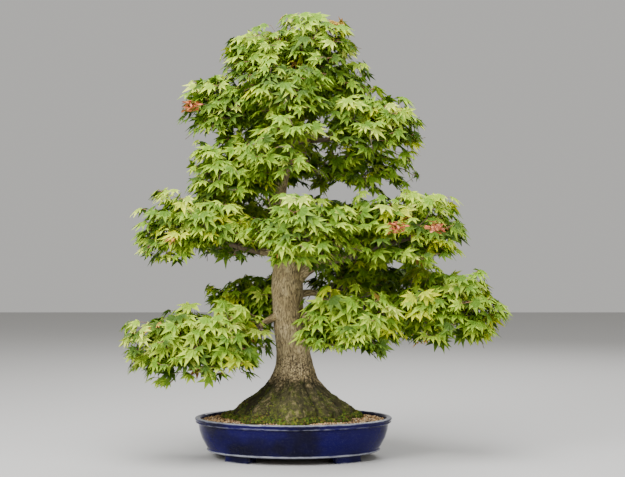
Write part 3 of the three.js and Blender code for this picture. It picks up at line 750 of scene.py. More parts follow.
def barkFinish():
    finish = Finish("mapleBark", {"Specular IOR Level": 0.25})
    place = finish.place()
    grainPlace = finish.own("straight", "Vector")
    height = finish.part(place, "Z") - barkLook["soilLevel"]
    broad = finish.grain(grainPlace, 24, 3).above(0.36, 0.64)
    streaks = finish.grain(finish.stretched(grainPlace, (1, 1, 0.22)), barkLook["streaks"], 4, 0.6)
    body = finish.blend(broad, barkLook["tan"], barkLook["pale"])
    body = finish.blend(streaks.above(0.42, 0.6), finish.blend(0.55, body, barkLook["fissure"]), body)
    groove = finish.own("groove")
    body = finish.blend((groove * 1.3).above(0.1, 0.8) * 0.75, body, barkLook["fissure"])
    cracks = finish.grain(finish.stretched(grainPlace, (1, 1, 0.6)), barkLook["cracks"], 2, 0.5) - 0.5
    away = height - (barkLook["cracksLevel"] - barkLook["soilLevel"])
    cracked = (1 - cracks * cracks * 420).above(0.1, 0.9) * (0.7 - away * away * 245).above(0.12, 0.7)
    body = finish.blend(cracked, body, barkLook["fissure"])
    patches = finish.grain(place, 42, 4)
    dapple = finish.grain(place, barkLook["dapple"], 5, 0.75)
    ragged = (patches - 0.5) * 1.8 + (dapple - 0.5) * 2.2
    moss = (2.75 - height * 27 + ragged).above(0.2, 0.8)  # it ends about 85 mm above the soil
    green = (finish.grain(place, 48, 5, 0.65) - height * 1.6).above(0.40, 0.50)
    tips = finish.grain(place, 420, 3).above(0.4, 0.6)
    lush = finish.blend(tips, barkLook["mossDeep"], barkLook["mossGreen"])
    mossy = finish.blend(green, barkLook["mossDark"], lush)
    trails = finish.grain(finish.stretched(grainPlace, (1, 1, 0.3)), 420, 5, 0.7)  # they run down the roots
    crest = finish.own("crest")
    bare = (crest * 0.4 + trails * 3.6 - 1.9).above(0.05, 0.45)
    # Painted shade: dark flecks in the fold colour stand in for the shade among the moss lumps and the
    # knobs of the flare.
    mossy = finish.blend(dapple.above(0.48, 0.54) * 0.7, mossy, barkLook["fold"])
    mossy = finish.blend(bare * 0.6, mossy, barkLook["root"])
    # Painted shade in the folds between the root ridges, where the crest falls below nought.
    mossy = finish.blend((crest * -1.0).above(0.05, 0.8) * 0.75, mossy, barkLook["fold"])
    finish.set({
        "Base Color": finish.blend(moss * barkLook["mossShare"], body, mossy),
        "Roughness": 0.86 + groove * 0.1,
    })
    lumps = finish.grain(place, 170, 5, 0.7) * moss * 7
    finish.raised(streaks + finish.grain(grainPlace, 900, 2) * 0.4 + lumps, 0.0012, 0.8)
    return finish.material


def relief(straight, scale=1.0):  # bark height over a straightened limb and the grooves in it
    size = barkRelief["fissure"] * scale
    lines = bumps(straight, size, barkRelief["stretch"])
    finer = bumps(straight, size * 0.55, barkRelief["stretch"], 40.0)
    groove = np.clip(1 - np.abs(lines) / barkRelief["fissureWidth"], 0, 1) * np.clip(0.65 + finer, 0, 1)
    swell = bumps(straight, barkRelief["swell"] * scale, 1.6, 7.0)
    height = barkRelief["swellDepth"] * swell + barkRelief["depth"] * (0.35 * finer - groove)
    return height * scale, groove


def makeTrunk():
    sides, rings = trunkSize["sides"], trunkSize["rings"]
    length = trunkStations[-1, 0] - trunkSize["foot"]
    levels = trunkSize["foot"] + length * np.linspace(0, 1, rings) ** trunkSize["crowding"]
    heights = np.repeat(levels, sides)
    around = np.tile(roundTurns(sides), rings)
    reach, depthShare, flare = trunkReach(heights, around)
    _, radius = trunkAt(heights)
    root = ((reach - radius) / (trunkSize["flareSpread"] * flare) - 1) / trunkSize["rootReach"]
    straight = roundAxis(radius, around, heights)
    lift, groove = relief(straight)
    taper = np.clip(radius / barkRelief["fullAt"], 0.25, 1)
    wrapped = roundAxis(radius, around, heights * 0.1)  # so that ridges run down the trunk
    sizes = (barkRelief["ridge"], barkRelief["ridge"] / barkRelief["finerRidge"])
    broad, narrow = [np.abs(bumps(wrapped, size, 1.0, 90.0)) for size in sizes]
    ridges = 2.4 * broad + 0.9 * narrow - 0.75  # lobes with folds between them
    folds = np.clip(1 - broad / barkRelief["foldWidth"], 0, 1)
    folds = folds + 0.7 * np.clip(1 - narrow / barkRelief["finerFoldWidth"], 0, 1)
    skin = roundAxis(reach, around, heights)
    knob = barkRelief["knob"]
    knobs = bumps(skin, knob, 1.3, 30.0) + 0.6 * bumps(skin, knob / 2, 1.3, 50.0)
    rough = barkRelief["ridgeDepth"] * ridges + barkRelief["knobDepth"] * knobs
    reach = np.maximum(reach + lift * taper + rough * flare ** 0.7, 2)
    points = roundTrunk(reach, around, heights, depthShare)
    climb = 0.9 - (heights - soilSize["plateau"]) / trunkSize["mossHeight"]
    mossiness = np.clip(climb + 1.9 * bumps(points, trunkSize["mossPatch"]) - 0.9 * ridges, 0, 1)
    own = {
        "straight": straight / 1000,
        "groove": groove * (1 - 0.5 * flare),
        "cover": (mossiness * (reach > trunkSize["mossBeyond"])) ** 2,
        # below nought in the folds, where the bark finish paints shade
        "crest": (0.6 * knobs - folds + root) * flare ** 0.5,
    }
    return addPiece("barked_trunk", points, ringFaces(rings, sides), [bark], ["trunk"], own=own)


bark = barkFinish()
barkedTrunk = makeTrunk()
print("the trunk is made")


# Moss

mossSize = {
    "reach": 20,
    "unevenness": 0.45,
    "height": 11,
    "slope": 1.4,
    "brow": 1.6,
    "bump": 12,
    "bumpHeight": 1.6,
    "sides": 24,
    "around": 240,
    "across": 14,
    "seed": 5,  # that of the solid ring
    "tuft": 3.1,
    "tuftSeed": 8,
    "roughness": 1.0,
}
tuftScatter = {"Density": 125000.0, "Smallest": 0.7, "Largest": 1.4, "Lean": 0.5, "Seed": 21}
climbingScatter = {"Density": 52000.0, "Smallest": 0.45, "Largest": 0.9, "Lean": 0.6, "Seed": 22}
mossColours = {
    "vivid": (0.100, 0.180, 0.010),
    "fresh": (0.130, 0.190, 0.014),
    "olive": (0.075, 0.090, 0.012),
    "deep": (0.020, 0.034, 0.007),
    "yellow": (0.21, 0.21, 0.022),
    "rust": (0.12, 0.070, 0.020),
}


def mossFinish():
    finish = Finish("mossBed", {"Roughness": mossSize["roughness"]})
    share = finish.grain(finish.place(), 60, 5).above(0.38, 0.62)
    finish.set({"Base Color": finish.blend(share, mossColours["deep"], mossColours["olive"])})
    finish.raised(finish.grain(finish.place(), 700, 3), 0.002)
    return finish.material


def tuftThing():  # a little star of upright blades
    random = np.random.default_rng(mossSize["tuftSeed"])
    blades = 5
    points, faces = [], []
    for i in range(blades):
        turn = 2 * math.pi * (i + random.uniform(-0.2, 0.2)) / blades
        out = np.array([math.cos(turn), math.sin(turn), 0])
        across = np.array([-out[1], out[0], 0])
        bend = out + [0, 0, 0.8]
        base = len(points)
        points += [across * 0.5, -across * 0.5, bend + across * 0.42, bend - across * 0.42]
        points.append(out * random.uniform(1.4, 2.0) + [0, 0, 1.3])
        faces += [(base, base + 1, base + 3, base + 2), (base + 2, base + 3, base + 4)]
    return loneObject("tuft", np.array(points) * mossSize["tuft"] / 2, faces)


def makeMoss():
    stream = seededStream(mossSize["seed"])
    sides, around, across = mossSize["sides"], mossSize["around"], mossSize["across"]
    uneven = mossSize["unevenness"]
    reaches = [mossSize["reach"] * (1 + uneven * (2 * next(stream) - 1)) for _ in range(sides)]
    turns = roundTurns(around)
    reachAt = np.interp(turns, np.linspace(0, 2 * math.pi, sides + 1), reaches + reaches[:1])
    rows = []
    for share in np.linspace(0, 1, across):  # from the outer edge over the brow and up against the trunk
        out = reachAt * (1 - share ** mossSize["slope"]) * 1.02 - share
        brow = math.sin(math.pi / 2 * min(share * mossSize["brow"], 1))
        rows.append((out, mossSize["height"] * (reachAt / mossSize["reach"]) * brow))
    rows.append((np.full(around, -1.0), np.zeros(around)))  # and down again, hidden in the trunk
    points = []
    for out, rise in rows:
        heights = trunkSize["foot"] + rise
        reach, depthShare, _ = trunkReach(heights, turns)
        points.append(roundTrunk(reach + out, turns, heights, depthShare))
    points = np.concatenate(points)
    inner = slice(around, (across - 1) * around)
    points[inner, 2] += mossSize["bumpHeight"] * bumps(points[inner], mossSize["bump"])
    points[:, 2] = np.maximum(points[:, 2], trunkSize["foot"] - 0.5)
    last = (len(rows) - 1) * around
    underside = [[i, last + i, last + (i + 1) % around, (i + 1) % around] for i in range(around)]
    faces = ringFaces(len(rows), around, capped=False) + underside
    cover = np.ones(len(points))
    cover[last:] = 0
    bed = addPiece("moss_bed", points, faces, [mossFinish()], ["moss"], own={"cover": cover})
    tints = paints("moss", mossColours, mossSize["roughness"])
    scatter("moss_tufts", bed, tuftThing(), tints, tuftScatter)
    scatter("climbing_moss", barkedTrunk, tuftThing(), tints, climbingScatter)


makeMoss()
print("the moss is laid")


# Boughs

# Each mass of leaves has a flattened round space, with its middle at a point and half sizes.
# Its bough leaves the trunk at the height from, and its radius falls from thick to thin.
massKeys = ("at", "half", "from", "thick", "thin")
massRows = {
    "low_left": ((-212, -70, 256), (178, 130, 102), 318, 11, 6),
    "low_right_inner": ((122, -122, 300), (135, 112, 92), 243, 12, 7),
    "low_right_outer": ((335, -45, 336), (155, 128, 102), 300, 14, 8),
    "low_back_left": ((-90, 140, 350), (125, 112, 92), 345, 9, 5),
    "low_back_right": ((176, 105, 402), (165, 125, 98), 352, 12, 6),
    "mid_left": ((-205, -45, 513), (165, 125, 106), 442, 15, 8),
    "mid_front": ((20, -160, 502), (138, 105, 94), 462, 11, 6),
    "mid_right": ((245, -62, 506), (160, 125, 106), 392, 18, 9),
    "mid_back_left": ((-155, 140, 522), (150, 115, 96), 492, 10, 5),
    "mid_back_right": ((120, 158, 515), (150, 112, 96), 470, 11, 6),
    "upper_left": ((-128, -25, 640), (124, 115, 114), 600, 9, 5),
    "upper_front": ((-5, -125, 690), (122, 96, 90), 640, 7, 4),
    "upper_right": ((160, -35, 738), (146, 115, 104), 712, 11, 6),
    "upper_right_back": ((155, 75, 655), (138, 110, 92), 655, 9, 5),
    "upper_back": ((-40, 135, 690), (132, 104, 98), 618, 8, 4.5),
    "shoulder_left": ((-145, 0, 790), (128, 98, 88), 762, 8, 4),
    "shoulder_right": ((92, 30, 846), (98, 92, 80), 800, 6, 3.5),
    "shoulder_back": ((-45, 112, 812), (112, 92, 82), 748, 6, 3.5),
    "head_front": ((-18, -98, 815), (118, 92, 90), 786, 6, 3.5),
    "apex_left": ((-64, -22, 900), (108, 94, 88), 866, 5, 3),
    "apex_right": ((40, -32, 920), (112, 92, 88), 890, 5, 3),
    "apex_back": ((-14, 88, 908), (102, 84, 82), 846, 5, 3),
}
masses = {name: dict(zip(massKeys, row)) for name, row in massRows.items()}
massMiddles = np.array([mass["at"] for mass in masses.values()], float)
massHalves = np.array([mass["half"] for mass in masses.values()], float)
boughRule = {
    "collar": 1.35,
    "collarLength": 55,
    "swelling": 0.125,
    "swellingLength": 7,
    "hidden": 9,  # how deep it begins inside the trunk
    "seed": 40,  # of the first, as in the solids
    "bendsAt": (0.35, 0.7),
    "rise": 0.12,
    "sway": 7,
    "fullSway": 120,  # the length from which a bough sways fully
    "entersAt": 0.86,
    "shortest": 12,
    "step": 2.2,
    "relief": 0.75,
    "fullAt": 12,  # the radius from which the bark has its full depth
    "knot": 17,
    "knots": 0.07,
    "facets": 4.2,  # for each millimetre of thickness, within a least and a most
    "leastFacets": 18,
    "mostFacets": 64,
}
shoulders = 2.5  # 2 would make each mass's space an ellipsoid
up = np.array([0.0, 0.0, 1.0])


def roundness(sizes):  # a length by which a space of even reach is a ball with squared shoulders
    return (np.abs(sizes) ** shoulders).sum(-1) ** (1 / shoulders)


def farness(points):  # of points from every mass: 0 at its middle and 1 on its outline
    return roundness((np.atleast_2d(points)[:, None] - massMiddles) / massHalves)


def smoothPath(points, gap):  # an even run of points on a smooth curve through a few
    points = np.asarray(points, float)
    before, beyond = 2 * points[0] - points[1], 2 * points[-1] - points[-2]
    whole = np.concatenate([[before], points, [beyond]])
    steps = np.sqrt(np.linalg.norm(np.diff(whole, axis=0), axis=1))  # roots, so that it doesn't loop
    start, leaving, end, arriving = cubicWeights(np.linspace(0, 1, 24)[:-1, None])
    made = []
    for i in range(1, len(whole) - 2):
        a, b, c, d = whole[i - 1:i + 3]
        first, middle, last = steps[i - 1:i + 2]
        slopeB = ((b - a) / first - (c - a) / (first + middle) + (c - b) / middle) * middle
        slopeC = ((c - b) / middle - (d - b) / (middle + last) + (d - c) / last) * middle
        made.append(start * b + leaving * slopeB + end * c + arriving * slopeC)
    made = np.concatenate([*made, points[-1:]])
    run = lengthAlong(made)
    even = np.linspace(0, run[-1], max(round(run[-1] / gap), 2) + 1)
    return np.column_stack([np.interp(even, run, made[:, axis]) for axis in range(3)])


def boughPath(name, stream):  # from the trunk's middle line to where the bough enters its mass
    mass, index = masses[name], list(masses).index(name)
    middle, radius = trunkAt(mass["from"])
    start = np.array([*middle[0], mass["from"]])
    away = np.array(mass["at"]) - start
    shares = np.arange(1, 0, -0.01)
    outside = farness(start + away * shares[:, None])[:, index] >= boughRule["entersAt"]
    share = shares[outside][0] if outside.any() else 0
    tip = start + away * max(share, (radius[0] + boughRule["shortest"]) / np.linalg.norm(away))
    length = np.linalg.norm(tip - start)
    side = np.cross(up, unit(away * [1, 1, 0]))
    bends = []
    for share in boughRule["bendsAt"]:
        sway = boughRule["sway"] * (next(stream) - 0.5) * min(1, length / boughRule["fullSway"])
        rise = up * boughRule["rise"] * length * math.sin(math.pi * share)
        bends.append(start + (tip - start) * share + rise + side * sway)
    return smoothPath([start, *bends, tip], boughRule["step"])


def spokesAlong(path, sides):  # unit vectors round each point of a path, across it and turning with it
    ways = unit(np.gradient(path, axis=0))
    upright = abs(ways[0][2]) >= 0.95
    spoke = unit(np.cross(np.array([1.0, 0, 0]) if upright else up, ways[0]))
    firsts = []
    for way in ways:
        spoke = unit(spoke - way * np.dot(spoke, way))
        firsts.append(spoke)
    firsts = np.array(firsts)
    turns = roundTurns(sides)[:, None]
    return np.cos(turns) * firsts[:, None] + np.sin(turns) * np.cross(ways, firsts)[:, None]


def makeBough(name, path):
    mass = masses[name]
    run = lengthAlong(path)
    base = trunkAt(mass["from"])[1][0]
    collar = 1 + (boughRule["collar"] - 1) * np.clip(1 - run / boughRule["collarLength"], 0, 1) ** 2
    swelling = np.exp(-((run - base) / boughRule["swellingLength"]) ** 2)  # where it joins the trunk
    radii = (mass["thick"] + (mass["thin"] - mass["thick"]) * run / run[-1]) * collar
    radii = radii + mass["thick"] * boughRule["swelling"] * swelling
    keep = run > base - boughRule["hidden"]
    path, run = path[keep], run[keep]
    facets = mass["thick"] * boughRule["facets"]
    sides = int(np.clip(facets, boughRule["leastFacets"], boughRule["mostFacets"]))
    radii = np.repeat(radii[keep], sides)
    straight = roundAxis(radii, np.tile(roundTurns(sides), len(path)), np.repeat(run, sides))
    straight = straight + mass["from"] * 3.7  # so that no two boughs have the same bark
    lift, groove = relief(straight, boughRule["relief"])
    taper = np.clip(radii / boughRule["fullAt"], 0.3, 1)
    knots = boughRule["knots"] * bumps(straight, boughRule["knot"], 1.0, 3.0) * radii
    reach = radii + lift * taper + knots
    points = np.repeat(path, sides, axis=0) + spokesAlong(path, sides).reshape(-1, 3) * reach[:, None]
    own = {"straight": straight / 1000, "groove": groove, "crest": np.zeros(len(points))}
    faces = ringFaces(len(path), sides)
    addPiece("barked_bough_" + name, points, faces, [bark], ["bough_" + name], own=own)


boughPaths = {}
for i, name in enumerate(masses):
    boughPaths[name] = boughPath(name, seededStream(boughRule["seed"] + i))
    makeBough(name, boughPaths[name])
print("the boughs are made")


# Twigs and leaves

growth = {
    "sprayGap": 34.8,  # between the ends of twigs over a mass's outside
    "layers": [(0.96, 1.0), (0.62, 0.4)],  # how far out they end, and what share of them
    "lumps": 0.46,  # how much of the reach is lost in the hollows of its outside
    "lumpiness": 1.9,
    "ragged": (0.76, 1.0),  # between what shares of it they end
    "jitter": 15,
    "downTo": 1.72,  # how far round below they grow, where 2 is the whole of a ball
    "topWidth": 0.3,  # within it, at the top of a mass, they face any way
    "joint": 22,
    "arch": 0.09,
    "stray": 5,
    "stemJoint": 18,
    "stemReach": 0.55,
    "stemLeast": 8,
    "stemMost": 0.45,  # of half the mass's width
    "stemDip": 0.05,
    "detour": 0.35,  # how much a joint's own way from the bough counts against it
    "mostTwigs": 3,  # from one joint
    "fullCost": 500,  # of a joint that has them
    "tip": 0.7,
    "bareWithin": 0.42,
    "overhang": 1.03,
    "mingle": 0.22,  # how far leaves may reach into the next mass's space
    "limbGap": 3,
    "leafGap": 1.5,
    "level": (1, 1, 0.4),  # how much of a twig's own way its leaves keep
    "outward": 0.6,  # how much they turn to the outside of the mass
    "onward": (0, 0.7),  # how much those in pairs turn to the end of the twig
    "upright": 0.7,  # how steeply half of the pairs stand
    "sameTint": 0.8,  # the share of a bud's leaves with its own tint
    "fallen": 0.14,  # the share of leaves missing from their pairs
    "pairSize": 0.92,  # the size of leaves in pairs to that of the ones at the ends
    "twigSides": 5,
    "stalkSides": 3,
    "seed": 900,
}
leafSize = {
    "length": 33.5,
    "spread": 0.3,
    "petiole": 18,
    "petioleShares": (0.55, 1.25),
    "petioleRise": (-0.05, 0.3),
    "petioleRadius": 0.5,
    "petioleEnds": (1.2, 1.0),
    "stray": np.array([0.3, 0.3, 0.18]),
    "outward": 0.35,
    "faceOut": 0.95,
    "faceShares": (0.1, 1.9),
    "roll": 0.65,
    "hang": 0.5,
    "hangShares": (0.35, 1.4),
    "young": 0.7,  # the size of bronze leaves to that of others
    "curl": (0.1, 0.36),
    "fold": (0.03, 0.07),
    "widestAt": 0.44,  # of a lobe's reach
    "shapes": 8,
    "shapeSeed": 17,
    "tries": 5,
    "shrinking": 0.05,  # with each try
    "straying": 0.3,  # with each try
    "roughness": 0.62,
    "shine": 0.18,
}
# One side of a leaf. A lobe has its turn from the middle lobe in degrees, its reach and its
# half width, and the notch after it its turn and depth, as shares of the leaf's length.
lobes = [(0, 1.0, 0.156), (43, 0.93, 0.148), (86, 0.66, 0.108), (130, 0.26, 0.05)]
notches = [(21.5, 0.35), (64, 0.30), (107, 0.17), (154, 0.07)]
# The paler lobe tips are partly the leaves' own colour and partly a painted sheen.
leafColours = {  # body and lobe tips
    # deep is a painted shade for leaves within a mass; lime and cream are partly the leaves' own colour and
    # partly painted light and highlight
    "lime": ((0.240, 0.375, 0.018), (0.390, 0.520, 0.036)),
    "fresh": ((0.150, 0.280, 0.013), (0.265, 0.405, 0.024)),
    "green": ((0.092, 0.185, 0.011), (0.175, 0.290, 0.020)),
    "deep": ((0.046, 0.095, 0.007), (0.085, 0.150, 0.012)),
    "cream": ((0.290, 0.400, 0.035), (0.500, 0.590, 0.080)),
    "yellow": ((0.350, 0.440, 0.008), (0.520, 0.570, 0.016)),
    "bronze": ((0.330, 0.220, 0.030), (0.460, 0.240, 0.055)),
}
tintNames = list(leafColours)
woodColours = {
    "twig": (0.150, 0.110, 0.070),
    "shoot": (0.200, 0.190, 0.060),
    "petiole": (0.300, 0.130, 0.070),
}
massTints = {  # masses whose sprays take some tints more often than the rest; yellow and bronze are the leaves' own colours, and cream is partly a painted highlight
    "apex_right": {"bronze": 0.16, "yellow": 0.12},
    "apex_left": {"bronze": 0.04},
    "low_right_outer": {"yellow": 0.20},
    "mid_right": {"yellow": 0.12},
    "upper_right": {"yellow": 0.20},
    "mid_left": {"cream": 0.16, "yellow": 0.16},
    "low_left": {"cream": 0.24},
}


def bothSides(rows):  # rows that begin with a turn, mirrored across the middle lobe
    return [(-turn, *rest) for turn, *rest in rows[::-1] if turn] + rows


def leafShape(random):  # a leaf of unit length: its points, its faces and how many of those are its body
    points = [(0, 0, 0.02)]
    curl = random.uniform(*leafSize["curl"])
    fold = random.uniform(*leafSize["fold"])

    def rimPoint(turn, reach, beside=0.0, lift=0.0):
        turn = math.radians(turn)
        x = reach * math.cos(turn) - beside * math.sin(turn)
        y = reach * math.sin(turn) + beside * math.cos(turn)
        points.append((x, y, lift - curl * reach ** 1.8))
        return len(points) - 1

    between = []
    for turn, depth in bothSides(notches):
        between.append(rimPoint(turn, depth * random.uniform(0.9, 1.1), 0, fold / 2))
    body, tips = [], []
    for before, after, (turn, reach, width) in zip(between, between[1:], bothSides(lobes)):
        reach = reach * random.uniform(0.92, 1.06)
        right, left = [rimPoint(turn, reach * leafSize["widestAt"], beside) for beside in (-width, width)]
        rib = rimPoint(turn, reach * 0.45, 0, -fold)
        tip = rimPoint(turn + random.uniform(-6, 6), reach)
        body += [(0, before, rib), (before, right, rib), (0, rib, after), (rib, left, after)]
        tips += [(right, tip, rib), (rib, tip, left)]
    return np.array(points), np.array(body + tips), len(body)


shapeRandom = np.random.default_rng(leafSize["shapeSeed"])
leafShapes = [leafShape(shapeRandom) for _ in range(leafSize["shapes"])]
tipTurns, tipReaches, _ = np.array(bothSides(lobes[:3])).T
lobeTips = roundAxis(tipReaches, np.radians(tipTurns), -0.22 * tipReaches)  # of a leaf of unit length
leafTints = []
for key, colours in leafColours.items():
    for part, colour in zip(("body", "tips"), colours):
        name = f"leaf_{key}_{part}"
        leafTints.append(plainFinish(name, colour, leafSize["roughness"], leafSize["shine"]))
woodTints = paints("wood", woodColours, 0.75)
# Balls along the boughs, which leaves and twigs stay clear of.
limbBalls = np.concatenate([
    np.column_stack([path, np.linspace(masses[name]["thick"], masses[name]["thin"], len(path))])
    for name, path in boughPaths.items()
])

# Gaps in the crown as seen from the front: across, height and radius. Light shows through the
# first kind, and the second has the depth behind which its leaves are kept.
lightGaps = [
    (104, 604, 20), (60, 606, 10), (150, 652, 11), (66, 728, 10), (112, 690, 9), (26, 622, 7),
    (196, 626, 13), (222, 604, 12), (246, 650, 9), (152, 708, 9), (196, 706, 11), (224, 690, 8),
    (240, 700, 8), (0, 860, 7), (-120, 860, 8), (-92, 770, 7), (-196, 640, 8), (-66, 596, 9),
    (-212, 470, 9), (-182, 424, 12), (-162, 398, 13), (-134, 420, 16), (-98, 427, 15),
    (-66, 424, 13), (73, 426, 6), (82, 405, 7), (110, 405, 7), (102, 380, 5), (127, 430, 5),
    (136, 376, 7), (204, 436, 8), (238, 435, 10), (8, 224, 18), (46, 214, 24), (86, 210, 26),
    (126, 214, 22), (164, 222, 14), (20, 372, 9),
]
darkHollows = [
    (72, 688, 34, -20), (24, 712, 16, -60), (250, 487, 15, -90), (-80, 560, 18, -60),
    (-150, 470, 16, -60), (-72, 462, 12, -32), (-100, 467, 12, -38), (-128, 472, 11, -42),
]
behindAll = 500
hollows = np.array([(*gap, behindAll) for gap in lightGaps] + darkHollows)

seedClusters = {"mid_right": [(226, 533), (316, 524)], "shoulder_left": [(-226, 822)]}  # across and height
seedSize = {
    "seeds": 34,
    "spread": (19, 12, 14),
    "wing": 15,
    "stalk": 0.35,
    "room": 24,  # kept clear of leaves
    "forward": 10,
    "hang": (0, -0.8, 0),
    "random": 60,
}
seedWing = np.array([  # the outline of one wing of unit length: along, across and above
    (0, 0, 0),
    (0.3, 0.14, -0.06),
    (0.75, 0.2, -0.2),
    (1, 0.05, -0.3),
    (0.8, -0.13, -0.24),
    (0.3, -0.08, -0.1),
])
seedColours = {"coral": (0.50, 0.11, 0.045), "pink": (0.58, 0.20, 0.10), "rust": (0.33, 0.12, 0.030)}
seedTints = paints("seed", seedColours, 0.6, 0.3)


def fromFront(points):  # across and height as the camera in front sees them, at the pot's depth
    points = np.atleast_2d(points)
    nearer = view["distance"] / (view["distance"] + points[:, 1])
    return np.column_stack([
        view["besidePot"] + (points[:, 0] - view["besidePot"]) * nearer,
        view["height"] + (points[:, 2] - view["height"]) * nearer,
    ])


def inHollow(points):  # whether any of the points would close one of the gaps
    away = np.linalg.norm(fromFront(points)[:, None] - hollows[:, :2], axis=2)
    return ((away < hollows[:, 2]) & (points[:, 1, None] < hollows[:, 3])).any()


class Shoot:  # one mass's twigs and leaves, grown from the tip of its bough
    def __init__(self, name, seed):
        self.name = name
        self.index = list(masses).index(name)
        self.mass = masses[name]
        self.middle, self.half = massMiddles[self.index], massHalves[self.index]
        self.random = np.random.default_rng(seed)
        self.joints, self.parents, self.runs, self.children = [], [], [], []
        self.buds, self.leaves, self.petioles, self.seeds = [], [], [], []
        reach = np.linalg.norm(limbBalls[:, :3] - self.middle, axis=1)
        self.limbs = limbBalls[reach < self.half.max() * 1.2]

    def addJoint(self, point, parent=None):
        run = 0
        if parent is not None:
            run = self.runs[parent] + np.linalg.norm(point - self.joints[parent])
            self.children[parent] += 1
        self.joints.append(point)
        self.parents.append(parent)
        self.runs.append(run)
        self.children.append(0)
        return len(self.joints) - 1

    def clear(self, points, gap):  # of the trunk and the boughs
        middle, radius = trunkAt(points[:, 2])
        offTrunk = np.linalg.norm(points[:, :2] - middle, axis=1) > radius + gap
        offLimbs = np.linalg.norm(points[:, None] - self.limbs[:, :3], axis=2) > self.limbs[:, 3] + gap
        return offTrunk.all() and offLimbs.all()

    def inSpace(self, points, mingle=0.0):  # and not nearer to the middle of another mass
        away = farness(points)
        own = away[:, self.index].copy()
        away[:, self.index] = np.inf
        return (own < growth["overhang"]).all() and (away.min(axis=1) > own - mingle).all()

    def growStem(self, path):  # on from the tip of the bough, through the mass's middle
        root = path[-1]
        heading = unit(path[-1] - path[-4])
        beyond = (self.middle - root) * [1, 1, 0] * growth["stemReach"]
        most = growth["stemMost"] * self.half[0]
        beyond = unit(beyond) * np.clip(np.linalg.norm(beyond), growth["stemLeast"], most)
        dip = growth["stemDip"] * self.half[2] * up
        bends = [root * 0.5 + self.middle * 0.5 - dip, self.middle - 2.4 * dip]
        line = smoothPath([root, *bends, self.middle + beyond], growth["stemJoint"])
        at = self.addJoint(root - heading * 2)
        for point in line[1:]:
            at = self.addJoint(point, at)

    def spots(self):  # where twigs end: evenly over the outside and over a layer further in
        a, b, c = self.half
        power = 1.6  # with it this is nearly the surface of an ellipsoid
        area = 4 * math.pi * (((a * b) ** power + (a * c) ** power + (b * c) ** power) / 3) ** (1 / power)
        whole = area / growth["sprayGap"] ** 2 * growth["downTo"] / 2
        golden = math.pi * (3 - math.sqrt(5))
        made = []
        for layer, (fill, portion) in enumerate(growth["layers"]):
            count = round(whole * portion)
            for i in range(count):
                z = 1 - growth["downTo"] * (i + 0.5) / count
                wide = math.sqrt(max(1 - z * z, 0))
                turn = i * golden + layer
                way = np.array([wide * math.cos(turn), wide * math.sin(turn), z])
                outward = way * [1, 1, 0]
                if wide <= growth["topWidth"]:
                    outward = outward + self.random.uniform(-0.5, 0.5, 3) * [1, 1, 0]
                lump = noise.noise(way * growth["lumpiness"] + self.index * 7.3)
                hollow = np.clip(0.5 - 1.3 * lump, 0, 1)
                out = fill * (1 - growth["lumps"] * hollow) * self.random.uniform(*growth["ragged"])
                out = out / roundness(way)
                spot = self.middle + way * self.half * out + self.random.normal(0, growth["jitter"], 3)
                made.append((spot, unit(outward)))
        return sorted(made, key=lambda spot: np.linalg.norm((spot[0] - self.middle) / self.half))

    def growTwig(self, spot, outward):  # from the joint that costs least, if nothing is in its way
        joints = np.array(self.joints)
        away = np.linalg.norm(joints - spot, axis=1)
        full = np.array(self.children) >= growth["mostTwigs"]
        costs = away + growth["detour"] * np.array(self.runs) + growth["fullCost"] * full
        start = int(costs.argmin())
        reach = away[start]
        steps = max(round(reach / growth["joint"]), 1)
        shares = np.arange(1, steps + 1)[:, None] / steps
        line = self.joints[start] + (spot - self.joints[start]) * shares
        line = line + up * growth["arch"] * reach * np.sin(math.pi * shares)
        line = line + self.random.uniform(-1, 1, line.shape) * growth["stray"] * (shares < 1)
        if not self.clear(line, growth["limbGap"]) or not self.inSpace(line) or inHollow(line):
            return
        at = start
        for step, point in enumerate(line):
            way = unit(point - self.joints[at])
            at = self.addJoint(point, at)
            last = step == steps - 1
            if last or farness(point)[0, self.index] > growth["bareWithin"]:
                self.buds.append((at, way, outward, last))

    def leafFrom(self, bud, towards, outward, size, tint):  # if one of its tries finds room
        start = self.joints[bud]
        young = leafSize["young"] if tintNames[tint] == "bronze" else 1
        for attempt in range(leafSize["tries"]):
            shrink = size * young * (1 - leafSize["shrinking"] * attempt)
            length = leafSize["length"] * shrink * (1 + leafSize["spread"] * self.random.uniform(-1, 1))
            wider = 1 + leafSize["straying"] * attempt
            stray = self.random.uniform(-1, 1, 3) * leafSize["stray"] * wider
            stalkWay = unit(towards + stray + up * self.random.uniform(*leafSize["petioleRise"]))
            share = self.random.uniform(*leafSize["petioleShares"])
            heart = start + stalkWay * leafSize["petiole"] * share * shrink
            hang = up * leafSize["hang"] * self.random.uniform(*leafSize["hangShares"])
            along = unit(stalkWay * [1, 1, 0] + outward * leafSize["outward"] - hang)
            face = up + outward * leafSize["faceOut"] * self.random.uniform(*leafSize["faceShares"])
            face = face + self.random.uniform(-leafSize["roll"], leafSize["roll"], 3)
            across = unit(np.cross(face, along))
            turned = np.array([along, across, np.cross(along, across)])
            tips = heart + length * lobeTips @ turned
            whole = np.vstack([tips, heart])
            if inHollow(whole) or self.nearSeeds(whole):
                continue
            if self.inSpace(tips, growth["mingle"]) and self.clear(whole, growth["leafGap"]):
                self.leaves.append((heart, turned * length, tint, self.random.integers(len(leafShapes))))
                self.petioles.append((start, heart))
                return

